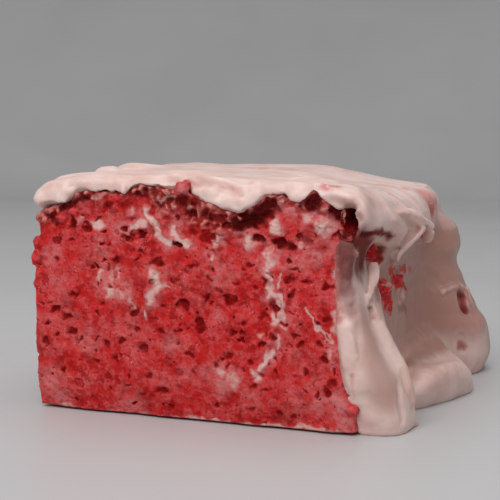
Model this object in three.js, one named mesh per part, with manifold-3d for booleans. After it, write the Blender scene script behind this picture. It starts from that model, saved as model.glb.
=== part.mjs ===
// A corner piece of strawberry sheet cake: one block of red crumb, cut on its front and left faces,
// under pink frosting that covers the top, the right side and the back and pools at the foot.
// Millimetres, +Z up. The origin is the middle of the block's flat underside, the cut front faces -Y
// and the frosted side faces +X.
import * as THREE from "three";
import { ImprovedNoise } from "three/addons/math/ImprovedNoise.js";
import { mergeVertices } from "three/addons/utils/BufferGeometryUtils.js";
import Module from "manifold-3d";

const wasm = await Module();
wasm.setup();

const { lerp, smoothstep, clamp, degToRad } = THREE.MathUtils;

// Driving dimensions
const BLOCK = { width: 78, depth: 86, height: 50, edgeRadius: 1.8 };
const COAT = { top: 6.4, side: 1.9, back: 4, topRadius: 5, sideRadius: 2 };
const OVERHANG = { front: 1.5, left: 2.1 };
const GAP = 0.3; // left between the crumb and the frosting
const GRID = { block: [13, 14, 9], frosting: [27, 31, 21] };
const RELIEF = { crumb: 0.5, crumbScale: 6, sweep: 0.8, sweepPitch: 13 };
const POOL_HEIGHT = 13;
const PITS = { perFace: 36, least: 0.8, most: 1.7, lowest: 4, highest: 45 };
const FOOT_CLEARANCE = 2.2; // height over which the frosting keeps off the block's rounded foot
const INSET = 1.2; // how far the frosting's hidden faces lie inside the block before it is cut away

const RIGHT = BLOCK.width / 2;
const BACK = BLOCK.depth / 2;
const LEFT = -RIGHT;
const FRONT = -BACK;

const noise = new ImprovedNoise();

// A repeatable run of random numbers from 0 to 1.
function randomRun(seed) {
  let state = seed;
  return () => {
    state = (state * 1664525 + 1013904223) % 4294967296;
    return state / 4294967296;
  };
}

// A smooth curve through [place, value] points, flat beyond both ends.
function profile(points) {
  return (place) => {
    const next = points.findIndex(([p]) => p > place);
    if (next === 0) return points[0][1];
    if (next < 0) return points.at(-1)[1];
    const [[a, from], [b, to]] = [points[next - 1], points[next]];
    return lerp(from, to, smoothstep(place, a, b));
  };
}

// 1 at the middle of a round patch, falling to 0 well outside its radii.
function patch(a, b, middleA, middleB, radiusA, radiusB) {
  return Math.exp(-(((a - middleA) / radiusA) ** 2) - ((b - middleB) / radiusB) ** 2);
}

// Height of the torn crust along the front cut, from left to right.
const crustEdge = profile([
  [-39, 47.5], [-34, 48.8], [-29, 51], [-19, 52.8], [-7, 52.8], [0, 52.2],
  [9, 49.2], [12, 48.6], [16, 51.5], [23, 52.8], [33, 52.4], [38, 50.5],
]);

// Lower edge of the frosting where it hangs over the front cut.
const frontHang = profile([
  [-39, 47.6], [-31, 50.2], [-28, 51.4], [-7, 52.6], [0, 52], [12, 48.5], [16, 51.4],
  [23, 52.7], [34, 52], [36.4, 52.6], [37.6, 49], [39, 45.8],
]);

// Lower edge of the frosting's lip along the frosted side, from front to back.
const sideHang = profile([
  [-44, 46], [-39, 46], [-36, 47.3], [-30, 46.4], [-24, 42], [-19.5, 36.8], [-16, 39.2],
  [6, 39], [16, 39.6], [26, 41], [36, 35], [44, 33],
]);

// Side of the block under the frosting, by height: it slumps in below the ledge of its crust.
const blockSide = profile([[4, 39], [9, 36.9], [13, 35.3], [30, 34.4], [37, 34.4], [42, 35.7], [45.5, 38.2]]);

// How far the cut left face bulges out, by height.
const leftBulge = profile([[0, 0], [4, 1.2], [13, 1.6], [36, 1.5], [41.5, 0.1], [46, -0.3]]);

// How far the front tongue, the side pool and the back corner reach out from the middle of the block.
const tongueReach = profile([[0, 49.4], [7, 48.2], [13, 46.2], [18.5, 43.4], [24, 40.9], [30, 38.8], [36, 36.6]]);
const poolReach = profile([[-16, 45.5], [-9, 48.6], [2, 53], [12, 56], [18, 55.4], [22, 53]]);
const cornerReach = profile([
  [0, 52.4], [5, 54.2], [13, 53.6], [19, 49.8], [25, 46.8], [31, 44.1], [35.4, 45.8], [40, 44.6], [48, 41],
]);

// Top of the block: the torn edge at the front, a low dome behind it.
function blockTop(x, y) {
  const dome = BLOCK.height + 1.2 - 2.4 * smoothstep(x, 0, RIGHT) * smoothstep(y, -10, BACK);
  return lerp(crustEdge(x), dome, smoothstep(y, FRONT, FRONT + 14));
}

// Top of the frosting, with the low ridges that a spatula leaves.
function frostingTop(x, y) {
  const fall = smoothstep(x, 2, RIGHT) * lerp(1.6, 5, (y - FRONT) / BLOCK.depth);
  const frontCorner = 3.4 * patch(x, y, LEFT, FRONT, 9, 9);
  const sweep = (y + 0.22 * x + 0.006 * x * x + 2 * noise.noise(x / 30, y / 30, 2)) / RELIEF.sweepPitch;
  const share = sweep - Math.floor(sweep);
  const ridge = RELIEF.sweep * share ** 2 * (1 - smoothstep(share, 0.8, 1));
  const knob = 1.3 * patch(x, y, LEFT + 3, -1, 7, 4);
  const swell = 0.9 * noise.noise(x / 17, y / 17, 7);
  return BLOCK.height + COAT.top - fall - frontCorner + ridge + knob + swell;
}

// Share of a pool's reach at a height: full at the floor, rounded off above it.
function poolShare(z, height) {
  return Math.sqrt(Math.max(0, 1 - (Math.max(0, z - 2.5) / height) ** 2));
}

// Outside of the side coat before its pools: thin at the front, thicker behind, full at the corner.
function sideCoat(y, z) {
  const thin = blockSide(z) + COAT.side;
  const middle = 41 - 0.07 * z + 1.1 * noise.noise(y / 11, z / 16, 3);
  const coat = lerp(thin, middle, smoothstep(y, -29, -17));
  return lerp(coat, cornerReach(z), smoothstep(y, 17, 34));
}

// The front tongue: a left lobe, a trough and a raised rim along its back edge.
function tongue(y, z) {
  const lobe = 1.1 * patch(y, z, -41, 19, 2.4, 8);
  const trough = 1.5 * patch(y, z, -35.5, 22, 3, 12);
  const rim = 1 * patch(y, 0, -29, 0, 1.8, 1) * smoothstep(z, 3, 9) * (1 - smoothstep(z, 28, 35));
  return tongueReach(z) + lobe - trough + rim;
}

// Outside of the side frosting: coat, side pool, front tongue, and the lip that hangs from the top.
function frostingSide(y, z) {
  const coat = sideCoat(y, z);
  const poolShape = smoothstep(y, -21, -10) * (1 - smoothstep(y, 17, 24)) * poolShare(z, POOL_HEIGHT - 2.5);
  const pooled = lerp(coat, Math.max(coat, poolReach(y)), poolShape);
  const tongueEnd = -26.5 - 0.08 * z;
  const tongueShape = smoothstep(y, FRONT - 3.5, FRONT + 7) * (1 - smoothstep(y, tongueEnd, tongueEnd + 6));
  const draped = lerp(pooled, Math.max(pooled, tongue(y, z)), tongueShape);
  const hangs = smoothstep(z, sideHang(y) - 0.6, sideHang(y) + 1.8) * (1 - smoothstep(z, 50, 56));
  const lipReach = lerp(40.2, 42.4, smoothstep(y, -38, -24)) + 0.6 * noise.noise(y / 5, z / 9, 4);
  const tear = 5 * patch(y, z, -23, 39.5, 4, 2.6);
  return lerp(draped - tear, Math.max(draped, lipReach), hangs);
}

// Outside of the back frosting: an even coat over two low pools, under a lip.
function frostingBack(x, z) {
  const coat = BACK + COAT.back + 1.2 * noise.noise(x / 13, z / 18, 11);
  const pools = 6.5 * patch(x, 0, -21, 0, 15, 1) + 7 * patch(x, 0, 19, 0, 17, 1);
  const lip = 1.4 * smoothstep(z, 41 + 3 * noise.noise(x / 8, 0.5, 5), 46) * (1 - smoothstep(z, 50, 56));
  return coat + pools * poolShare(z, POOL_HEIGHT - 4) + lip;
}

// Front of the frosting: behind the cut, except where it hangs over the crust or wraps the corner.
function frostingFront(x, z) {
  const edge = 0.2 * smoothstep(x, blockSide(z) - 0.8, blockSide(z) + 0.4);
  const hang = OVERHANG.front * smoothstep(z, frontHang(x) - 0.7, frontHang(x) + 0.9);
  const upTongue = smoothstep(z, 6, 12) * (1 - smoothstep(z, 24, 32));
  const wrap = 1.8 * smoothstep(x, 33, 36.4) * upTongue;
  const showing = Math.max(edge, hang, wrap);
  return FRONT + INSET - (showing > 0 ? showing + INSET * Math.min(1, showing / 0.2) : 0);
}

// Left of the frosting: over the cut at the top edge, flush with it behind the block.
function frostingLeft(y, z) {
  const low = 48.4 + 1.6 * noise.noise(y / 7, 0.3, 9) - 1.6 * patch(y, 0, -39, 0, 5, 1);
  const hang = (INSET + OVERHANG.left) * smoothstep(z, low - 0.7, low + 0.9);
  const flush = INSET * smoothstep(y, BACK - 2, BACK + 0.4);
  return LEFT + INSET - Math.max(hang, flush);
}

// Moves each vertex of a geometry to place(vertex).
function moulded(geometry, place) {
  const position = geometry.getAttribute("position");
  const point = new THREE.Vector3();
  for (let i = 0; i < position.count; i++) {
    const moved = place(point.fromBufferAttribute(position, i));
    position.setXYZ(i, moved.x, moved.y, moved.z);
  }
  return geometry;
}

// A point of a box moved in to rounded edges; the edge at the floor stays sharp when foot is sharp.
function rounded(point, low, high, radius, sharpFoot) {
  const inner = point.clone();
  for (const axis of ["x", "y", "z"]) {
    const least = axis === "z" && sharpFoot ? low.z : low[axis] + radius;
    inner[axis] = clamp(point[axis], least, high[axis] - radius);
  }
  const out = point.clone().sub(inner);
  if (out.length() > radius) out.setLength(radius);
  return inner.add(out);
}

// The geometry's closed surface as a solid that can be joined and cut.
function solid(geometry) {
  const bare = new THREE.BufferGeometry();
  bare.setAttribute("position", geometry.getAttribute("position"));
  bare.setIndex(geometry.index);
  const merged = mergeVertices(bare, 1e-4);
  return new wasm.Manifold(
    new wasm.Mesh({
      numProp: 3,
      vertProperties: merged.attributes.position.array,
      triVerts: new Uint32Array(merged.index.array),
    }),
  );
}

function joined(first, others) {
  return others.reduce((made, piece) => made.add(piece), first);
}

function cutBy(first, others) {
  return others.reduce((made, piece) => made.subtract(piece), first);
}

// The largest body of a solid: a cut may leave loose scraps beside it.
function largest(made) {
  return made.decompose().sort((a, b) => b.volume() - a.volume())[0];
}

// The crumb block before its pits, standing on the floor.
function blockGeometry() {
  const low = new THREE.Vector3(LEFT, FRONT, 0);
  const high = new THREE.Vector3(RIGHT, BACK, BLOCK.height);
  const box = new THREE.BoxGeometry(BLOCK.width, BLOCK.depth, BLOCK.height, ...GRID.block);
  box.translate(0, 0, BLOCK.height / 2);
  return moulded(box, (point) => {
    const { x, y, z } = rounded(point, low, high, BLOCK.edgeRadius, false);
    const height = (z / BLOCK.height) * blockTop(x, y);
    const right = smoothstep(x, 0, RIGHT) * (blockSide(height) - RIGHT);
    const left = smoothstep(-x, RIGHT - 12, RIGHT) * leftBulge(height);
    const { crumb, crumbScale } = RELIEF;
    const wobble = crumb * noise.noise(x / crumbScale, y / crumbScale, z / crumbScale);
    return new THREE.Vector3(x + right - left + wobble * Math.sign(x), y + wobble * Math.sign(y), height);
  });
}

// A lump or a pit: a squashed and turned icosahedron.
function lump({ x, y, z, radii, tilt = 0, detail = 0 }) {
  const geometry = new THREE.IcosahedronGeometry(1, detail);
  geometry.scale(...radii);
  geometry.rotateY(degToRad(tilt));
  geometry.translate(x, y, z);
  return solid(geometry);
}

// A tapering strand along a path; wide is its half width and out points away from its surface.
function strand({ path, wide, relief, out, detail = 1 }) {
  const curve = new THREE.CatmullRomCurve3(path.map((point) => new THREE.Vector3(...point)));
  const away = new THREE.Vector3(...out);
  return solid(
    moulded(new THREE.IcosahedronGeometry(1, detail), ({ x, y, z }) => {
      const along = clamp((z + 1) / 2, 0, 1);
      const across = away.clone().cross(curve.getTangent(along)).normalize();
      return curve.getPoint(along).addScaledVector(across, wide * x).addScaledVector(away, relief * y);
    }),
  );
}

// Large pits and torn hollows of the front cut: [x, z, half width, half height, depth, tilt].
const FRONT_HOLLOWS = [
  [36, 48.2, 3, 3.6, 6, 0], [13.5, 46.6, 4.2, 1.8, 4, 12], [33.6, 43.6, 1.5, 2.2, 2.5, 20],
  [26.5, 43.8, 2.4, 1.1, 2.2, -8], [20.3, 42.2, 1.4, 1.3, 2, 0], [-33, 47.6, 3.4, 1.2, 2.6, -14],
  [-36.6, 45.2, 1.6, 1.5, 2.4, 0], [28, 50.2, 2.6, 1.3, 3, 20], [-31.2, 44.8, 1.3, 1.5, 2, 0],
  [-27.2, 44.2, 1.5, 1.3, 2, 10], [-4.2, 40.6, 1.1, 1, 2, 0], [-13.3, 43.2, 1.3, 1, 2, 0],
  [8.3, 28.6, 1.9, 1.5, 2.4, 10], [1.3, 22.6, 1.2, 1.9, 2.2, 15], [20, 28.4, 1.1, 1.8, 2.4, -8],
  [-2.7, 27, 1.5, 1.2, 2, 0], [2.9, 29.2, 1.5, 1.1, 2, 35], [-34.6, 23.8, 1.7, 1, 1.8, -35],
  [-15.4, 25, 1.1, 1.3, 2, 0], [-13.2, 16.6, 1.1, 1.4, 1.8, 0], [15.6, 42.8, 1.4, 1.1, 2, 0],
];

// Strands of frosting dragged over the front cut: half width, then [x, z] along each.
const FRONT_STRANDS = [
  [1.3, [[-10.1, 35.6], [-11.8, 31.6], [-11.4, 26.4]]],
  [0.8, [[-12.5, 48.2], [-10.4, 45.4], [-7.4, 43.6], [-3.6, 40.4]]],
  [0.9, [[20.4, 37], [22.2, 31], [19.2, 24], [16.2, 11.6]]],
  [0.6, [[27.2, 28], [30.6, 24.4], [32.4, 20.6]]],
];

// Crumbs that stand proud of the block: [x, y, z, radius].
const PROUD_CRUMBS = [
  [-2.6, -43.2, 52.9, 2], [-40, -41.4, 36.2, 2.6], [-39.4, -41.6, 39.8, 1.9], [-40, -41.8, 30, 1.4],
  [-38.8, -41.6, 46, 1.5], [4, -42.9, 49.6, 1.5], [20.5, -42.6, 50.2, 1.6], [29.6, -42.2, 46.2, 2.6],
  [37.6, -42.2, 6, 1.7], [-39.6, -24, 43, 1.8], [-39.8, -6, 33, 1.6], [-39.8, 20, 39, 1.7],
];

// Red crumbs caught in the frosting: [x, y, z, radius].
const CAUGHT_CRUMBS = [
  [39.2, -20.6, 30.6, 2.1], [39.3, -18.2, 26.8, 1.7], [39.6, -10.4, 31.8, 2.2], [39.6, -7.2, 28.8, 1.6],
  [39.4, -12.6, 35.2, 1.2], [40.8, 22, 49, 2.3],
];

// Flakes, curls and drips of the frosting.
function frostingStrands() {
  const side = [1, 0, 0];
  const front = [0, -1, 0];
  const leaf = [[38.6, -33.6, 39.6], [40, -35.6, 35.4], [39.4, -38.4, 30.2]];
  const innerCurl = [[41.4, -24, 47.4], [42.4, -9, 46], [42.8, -6, 43.4], [42.6, -13, 40.8], [41.8, -19, 39.6]];
  const outerCurl = [[41.6, -16, 47.6], [42.6, 0, 45.6], [42.8, 7, 42], [42.4, 8.6, 38]];
  const rimHook = [[38.2, -36, 30], [39.2, -32, 31.4], [40.2, -29.4, 27]];
  return [
    strand({ path: leaf, wide: 1.8, relief: 1, out: side }),
    strand({ path: innerCurl, wide: 1.1, relief: 1, out: side, detail: 2 }),
    strand({ path: outerCurl, wide: 1.2, relief: 1.1, out: side, detail: 2 }),
    strand({ path: rimHook, wide: 0.9, relief: 0.9, out: side }),
    strand({ path: [[-17.6, -43.9, 55], [-17.2, -44, 50.8]], wide: 1, relief: 0.9, out: front }),
    strand({ path: [[-33.4, -43.2, 54], [-33.8, -43.4, 48.4]], wide: 2.4, relief: 1.5, out: front }),
  ];
}

// Small pits spread over a cut face; place(across, height) gives a pit's middle on that face.
function scatteredPits(seed, across, place) {
  const random = randomRun(seed);
  return Array.from({ length: PITS.perFace }, () => {
    const radius = lerp(PITS.least, PITS.most, random() ** 2);
    const squash = lerp(0.6, 1, random());
    const [x, y, z] = place(lerp(-across, across, random()), lerp(PITS.lowest, PITS.highest, random()));
    return lump({ x, y, z, radii: [radius, radius, radius * squash], tilt: lerp(-40, 40, random()) });
  });
}

// Round crumbs from a list of [x, y, z, radius], each grown by extra.
function crumbs(list, extra = 0) {
  return list.map(([x, y, z, radius]) => {
    const grown = radius + extra;
    return lump({ x, y, z, radii: [grown, grown, grown], tilt: 25 });
  });
}

function makeSponge() {
  const strands = FRONT_STRANDS.map(([wide, path]) =>
    strand({ path: path.map(([x, z]) => [x, FRONT, z]), wide, relief: 0.8, out: [0, -1, 0] }));
  const hollows = FRONT_HOLLOWS.map(([x, z, wide, high, deep, tilt]) =>
    lump({ x, y: FRONT, z, radii: [wide, deep, high], tilt, detail: wide > 2 ? 1 : 0 }));
  const frontPits = scatteredPits(7, RIGHT - 6, (across, height) => [across, FRONT - 0.2, height]);
  const leftPits = scatteredPits(23, BACK - 3, (across, height) => [LEFT - 1, across, height]);
  const filled = joined(solid(blockGeometry()), [...crumbs(PROUD_CRUMBS), ...strands]);
  return largest(cutBy(filled, [...hollows, ...frontPits, ...leftPits]));
}

// The room that the frosting leaves for the block: the block itself, grown by the gap, and its foot.
function spongeRoom() {
  const grown = blockGeometry().scale(1 + GAP / RIGHT, 1 + GAP / BACK, 1 + GAP / BLOCK.height);
  const around = 2 * (GAP + RELIEF.crumb);
  const foot = new THREE.BoxGeometry(BLOCK.width + around, BLOCK.depth + around, 2 * FOOT_CLEARANCE);
  return [solid(grown), solid(foot), ...crumbs(PROUD_CRUMBS, 2 * GAP)];
}

function makeFrosting() {
  const low = new THREE.Vector3(LEFT, FRONT, 0);
  const high = new THREE.Vector3(RIGHT, BACK, BLOCK.height);
  const box = new THREE.BoxGeometry(BLOCK.width, BLOCK.depth, BLOCK.height, ...GRID.frosting);
  box.translate(0, 0, BLOCK.height / 2);
  const envelope = moulded(box, (point) => {
    const radius = lerp(COAT.sideRadius, COAT.topRadius, smoothstep(point.z, 36, 46));
    const round = rounded(point, low, high, radius, true);
    const z = (round.z / BLOCK.height) * frostingTop(round.x, round.y);
    const toRight = smoothstep(round.x, 10, RIGHT - 3) * (frostingSide(round.y, z) - RIGHT);
    const toBack = smoothstep(round.y, 10, BACK - 3) * (frostingBack(round.x, z) - BACK);
    const toLeft = smoothstep(-round.x, 10, RIGHT - 3) * (frostingLeft(round.y, z) - LEFT);
    const toFront = smoothstep(-round.y, 10, BACK - 3) * (frostingFront(round.x, z) - FRONT);
    return new THREE.Vector3(round.x + toRight + toLeft, round.y + toBack + toFront, z);
  });
  const hole = lump({ x: 49, y: 30, z: 20.5, radii: [2.2, 1.8, 3.4] });
  const coated = joined(solid(envelope), [...frostingStrands(), ...crumbs(CAUGHT_CRUMBS)]);
  return largest(cutBy(coated, [...spongeRoom(), hole]));
}

// A named mesh from a joined or cut solid.
function meshOf(name, made, material) {
  const { numProp, numVert, vertProperties, triVerts } = made.getMesh();
  const position = new Float32Array(numVert * 3);
  for (let i = 0; i < numVert; i++) {
    position.set(vertProperties.subarray(i * numProp, i * numProp + 3), i * 3);
  }
  const geometry = new THREE.BufferGeometry();
  geometry.setAttribute("position", new THREE.BufferAttribute(position, 3));
  geometry.setIndex(new THREE.BufferAttribute(triVerts, 1));
  geometry.computeVertexNormals();
  const mesh = new THREE.Mesh(geometry, material);
  mesh.name = name;
  return mesh;
}

const crumbRed = new THREE.MeshStandardMaterial({ color: 0xb5303a, roughness: 0.85, metalness: 0 });
const frostingPink = new THREE.MeshStandardMaterial({ color: 0xdcb8af, roughness: 0.45, metalness: 0 });

const cake = new THREE.Group();
cake.add(meshOf("sponge", makeSponge(), crumbRed));
cake.add(meshOf("frosting", makeFrosting(), frostingPink));

export default cake;
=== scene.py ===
"""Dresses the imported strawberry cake: moist red crumb, hand-spread pink frosting, plain studio."""

import itertools
import logging
import math
from dataclasses import dataclass
from enum import Enum
from typing import Sequence

import bpy
import numpy as np
from mathutils import Matrix, Vector
from mathutils.bvhtree import BVHTree


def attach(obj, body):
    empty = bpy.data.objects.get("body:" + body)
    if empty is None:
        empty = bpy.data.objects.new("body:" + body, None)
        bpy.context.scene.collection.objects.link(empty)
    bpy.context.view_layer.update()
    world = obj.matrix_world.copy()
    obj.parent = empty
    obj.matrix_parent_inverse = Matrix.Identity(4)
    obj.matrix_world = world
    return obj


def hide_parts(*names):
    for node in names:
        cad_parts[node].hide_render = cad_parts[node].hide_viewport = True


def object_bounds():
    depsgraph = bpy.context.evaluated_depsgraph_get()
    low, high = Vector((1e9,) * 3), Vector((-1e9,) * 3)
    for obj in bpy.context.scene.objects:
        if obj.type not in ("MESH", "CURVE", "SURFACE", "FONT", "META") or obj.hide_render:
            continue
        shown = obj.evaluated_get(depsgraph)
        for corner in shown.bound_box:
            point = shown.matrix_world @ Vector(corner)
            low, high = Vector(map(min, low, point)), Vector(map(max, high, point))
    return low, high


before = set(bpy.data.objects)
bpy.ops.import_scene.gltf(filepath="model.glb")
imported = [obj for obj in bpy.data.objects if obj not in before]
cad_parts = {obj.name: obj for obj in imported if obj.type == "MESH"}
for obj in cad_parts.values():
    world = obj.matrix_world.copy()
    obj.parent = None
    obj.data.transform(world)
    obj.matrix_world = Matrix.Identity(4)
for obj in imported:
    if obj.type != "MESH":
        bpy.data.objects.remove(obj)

CAD_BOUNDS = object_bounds()
LOG = logging.getLogger("strawberry_cake")

MM = 0.001
HALF_WIDTH = 39.0
HALF_DEPTH = 43.0
FRONT = -HALF_DEPTH
LEFT = -HALF_WIDTH
GAP_READ = 3.0

Colour = tuple[float, float, float]
Place = tuple[float, float, float]
Path = tuple[tuple[float, ...], ...]
Socket = bpy.types.NodeSocket
Input = Socket | float | Sequence[float]


class Node(Enum):
    """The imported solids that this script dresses."""

    SPONGE = "sponge"
    FROSTING = "frosting"


class Slot(Enum):
    """Names for the two finishes."""

    CRUMB = "crumb"
    FROSTING = "frosting"


class Mask(Enum):
    """Vertex attributes from 0 to 1 that steer the finishes."""

    RELIEF = "relief"
    PORE = "pore"
    CRUST = "crust"
    HAZE = "haze"
    SMEAR = "smear"
    RED = "red"
    STAIN = "stain"
    GROOVE = "groove"
    SHADE = "shade"
    GLOOM = "gloom"


def rise(values: np.ndarray, low: float, high: float) -> np.ndarray:
    """Eases values from 0 at low to 1 at high.

    Args:
        values: The values to ease.
        low: Where the result starts to rise.
        high: Where the result reaches 1.

    Returns:
        An array from 0 to 1.
    """
    share = np.clip((values - low) / (high - low), 0.0, 1.0)
    return share * share * (3.0 - 2.0 * share)


def fall(values: np.ndarray, low: float, high: float) -> np.ndarray:
    """Eases values from 1 at low to 0 at high."""
    return 1.0 - rise(values, low, high)


def dot(first: np.ndarray, second: np.ndarray) -> np.ndarray:
    """The dot product of each row with the same row of another array."""
    return np.einsum("ij,ij->i", first, second)


@dataclass(frozen=True)
class Profile:
    """Heights or shifts that change along a line."""

    places: tuple[float, ...]
    values: tuple[float, ...]

    def at(self, place: float | np.ndarray) -> float | np.ndarray:
        """The value at a place between the given ones."""
        return np.interp(place, self.places, self.values)


@dataclass(frozen=True)
class Zone:
    """A part of the cake with soft edges. Each edge is two places: where the zone is 0 and where it is 1."""

    x: tuple[float, ...] = ()
    y: tuple[float, ...] = ()
    z: tuple[float, ...] = ()

    def share(self, points: np.ndarray) -> np.ndarray:
        """How much each point belongs to the zone.

        Args:
            points: Points, three to a row.

        Returns:
            A share from 0 to 1 for each point.
        """
        share = np.ones(len(points))
        for values, edges in zip(points.T, (self.x, self.y, self.z)):
            for none, full in zip(edges[::2], edges[1::2]):
                share *= rise(values, none, full) if none < full else fall(values, full, none)
        return share


@dataclass(frozen=True)
class Grain:
    """Repeatable noise in space; every length is in millimetres."""

    seed: int

    def draw(self, cells: np.ndarray, channel: int) -> np.ndarray:
        """Draws one number for each lattice cell.

        Args:
            cells: Whole-number cells, three to a row.
            channel: Tells several draws for one cell apart.

        Returns:
            A number from 0 to 1 for each cell.
        """
        salt = (self.seed * 7919 + channel * 104729) & 0xFFFFFFFF
        mixed = cells[:, 0] * 73856093 ^ cells[:, 1] * 19349663 ^ cells[:, 2] * 83492791 ^ salt
        for _ in range(2):
            mixed &= 0xFFFFFFFF
            mixed = (mixed ^ (mixed >> 16)) * 0x45D9F3B
        mixed &= 0xFFFFFFFF
        return (mixed ^ (mixed >> 16)) / 0xFFFFFFFF

    def swell(self, points: np.ndarray, size: float) -> np.ndarray:
        """Smooth noise.

        Args:
            points: Points, three to a row.
            size: The length of one swell.

        Returns:
            Values from -1 to 1.
        """
        places = points / size
        cells = np.floor(places).astype(np.int64)
        share = places - cells
        share = share * share * (3.0 - 2.0 * share)
        total = np.zeros(len(points))
        for corner in itertools.product((0, 1), repeat=3):
            weight = np.prod(np.where(corner, share, 1.0 - share), axis=1)
            total += weight * self.draw(cells + np.array(corner), 0)
        return total * 2.0 - 1.0

    def layers(self, points: np.ndarray, size: float, count: int) -> np.ndarray:
        """Sums swells, each half as long and half as high as the last.

        Args:
            points: Points, three to a row.
            size: The length of the longest swell.
            count: How many swells are summed.

        Returns:
            Values from about -1 to 1.
        """
        total = np.zeros(len(points))
        for level in range(count):
            finer = Grain(self.seed + 31 * level)
            total += finer.swell(points, size / 2**level) / 2**level
        return total / 1.5

    def drift(self, points: np.ndarray, amount: float, size: float, count: int = 0) -> np.ndarray:
        """Shifts points by noise, for ragged outlines.

        Args:
            points: Points, three to a row.
            amount: The farthest shift along each axis.
            size: The length of one swell.
            count: How many swells are summed, or 0 for one plain swell.

        Returns:
            The shifted points.
        """
        grains = [Grain(self.seed + axis) for axis in range(3)]
        shifts = [g.layers(points, size, count) if count else g.swell(points, size) for g in grains]
        return points + amount * np.stack(shifts, axis=1)

    def bubbles(
        self,
        points: np.ndarray,
        normals: np.ndarray,
        spacing: float,
        radii: tuple[float, float],
        share: float,
    ) -> np.ndarray:
        """How deep a surface sinks where round bubbles in the solid cut it open.

        Args:
            points: Points of the surface, three to a row.
            normals: Their outward normals.
            spacing: The mean distance between bubbles.
            radii: The least and the greatest radius of a bubble.
            share: The share of places that hold a bubble.

        Returns:
            The depth at each point.
        """
        cells = np.floor(points / spacing).astype(np.int64)
        deepest = np.zeros(len(points))
        for step in itertools.product((-1, 0, 1), repeat=3):
            near = cells + np.array(step)
            jitter = np.stack([self.draw(near, channel) for channel in (1, 2, 3)], axis=1)
            away = points - (near + jitter) * spacing
            radius = radii[0] + (radii[1] - radii[0]) * self.draw(near, 4) ** 2
            radius *= self.draw(near, 5) < share
            below = dot(away, normals)
            inside = radius**2 - dot(away, away)
            depth = below + np.sqrt(np.maximum(below**2 + inside, 0.0))
            deepest = np.maximum(deepest, np.where(inside > 0.0, np.minimum(depth, radius), 0.0))
        return deepest


def curve_point(path: Path, share: np.ndarray) -> np.ndarray:
    """Points along a smooth curve through a path.

    Args:
        path: The points that the curve passes through.
        share: How far along each wanted point lies, from 0 to 1.

    Returns:
        The points, three to a row.
    """
    knots = np.array([path[0], *path, path[-1]], float)
    place = np.clip(share, 0.0, 1.0) * (len(path) - 1)
    start = np.minimum(place.astype(int), len(path) - 2)
    t = (place - start)[:, None]
    before, first, second, after = (knots[start + step] for step in range(4))
    return 0.5 * (
        2.0 * first
        + (second - before) * t
        + (2.0 * before - 5.0 * first + 4.0 * second - after) * t**2
        + (3.0 * first - before - 3.0 * second + after) * t**3
    )


def distance_to_path(points: np.ndarray, path: Path) -> np.ndarray:
    """The distance from each point to a path of straight stretches, or to its one point.

    Args:
        points: Points, with as many columns as the path's points have.
        path: One or more points.

    Returns:
        The distance of each point.
    """
    knots = np.array(path, float)
    if len(knots) == 1:
        return np.linalg.norm(points - knots[0], axis=1)
    nearest = np.full(len(points), np.inf)
    for first, second in zip(knots[:-1], knots[1:]):
        along = second - first
        share = np.clip((points - first) @ along / (along @ along), 0.0, 1.0)
        nearest = np.minimum(nearest, np.linalg.norm(points - first - share[:, None] * along, axis=1))
    return nearest


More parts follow.
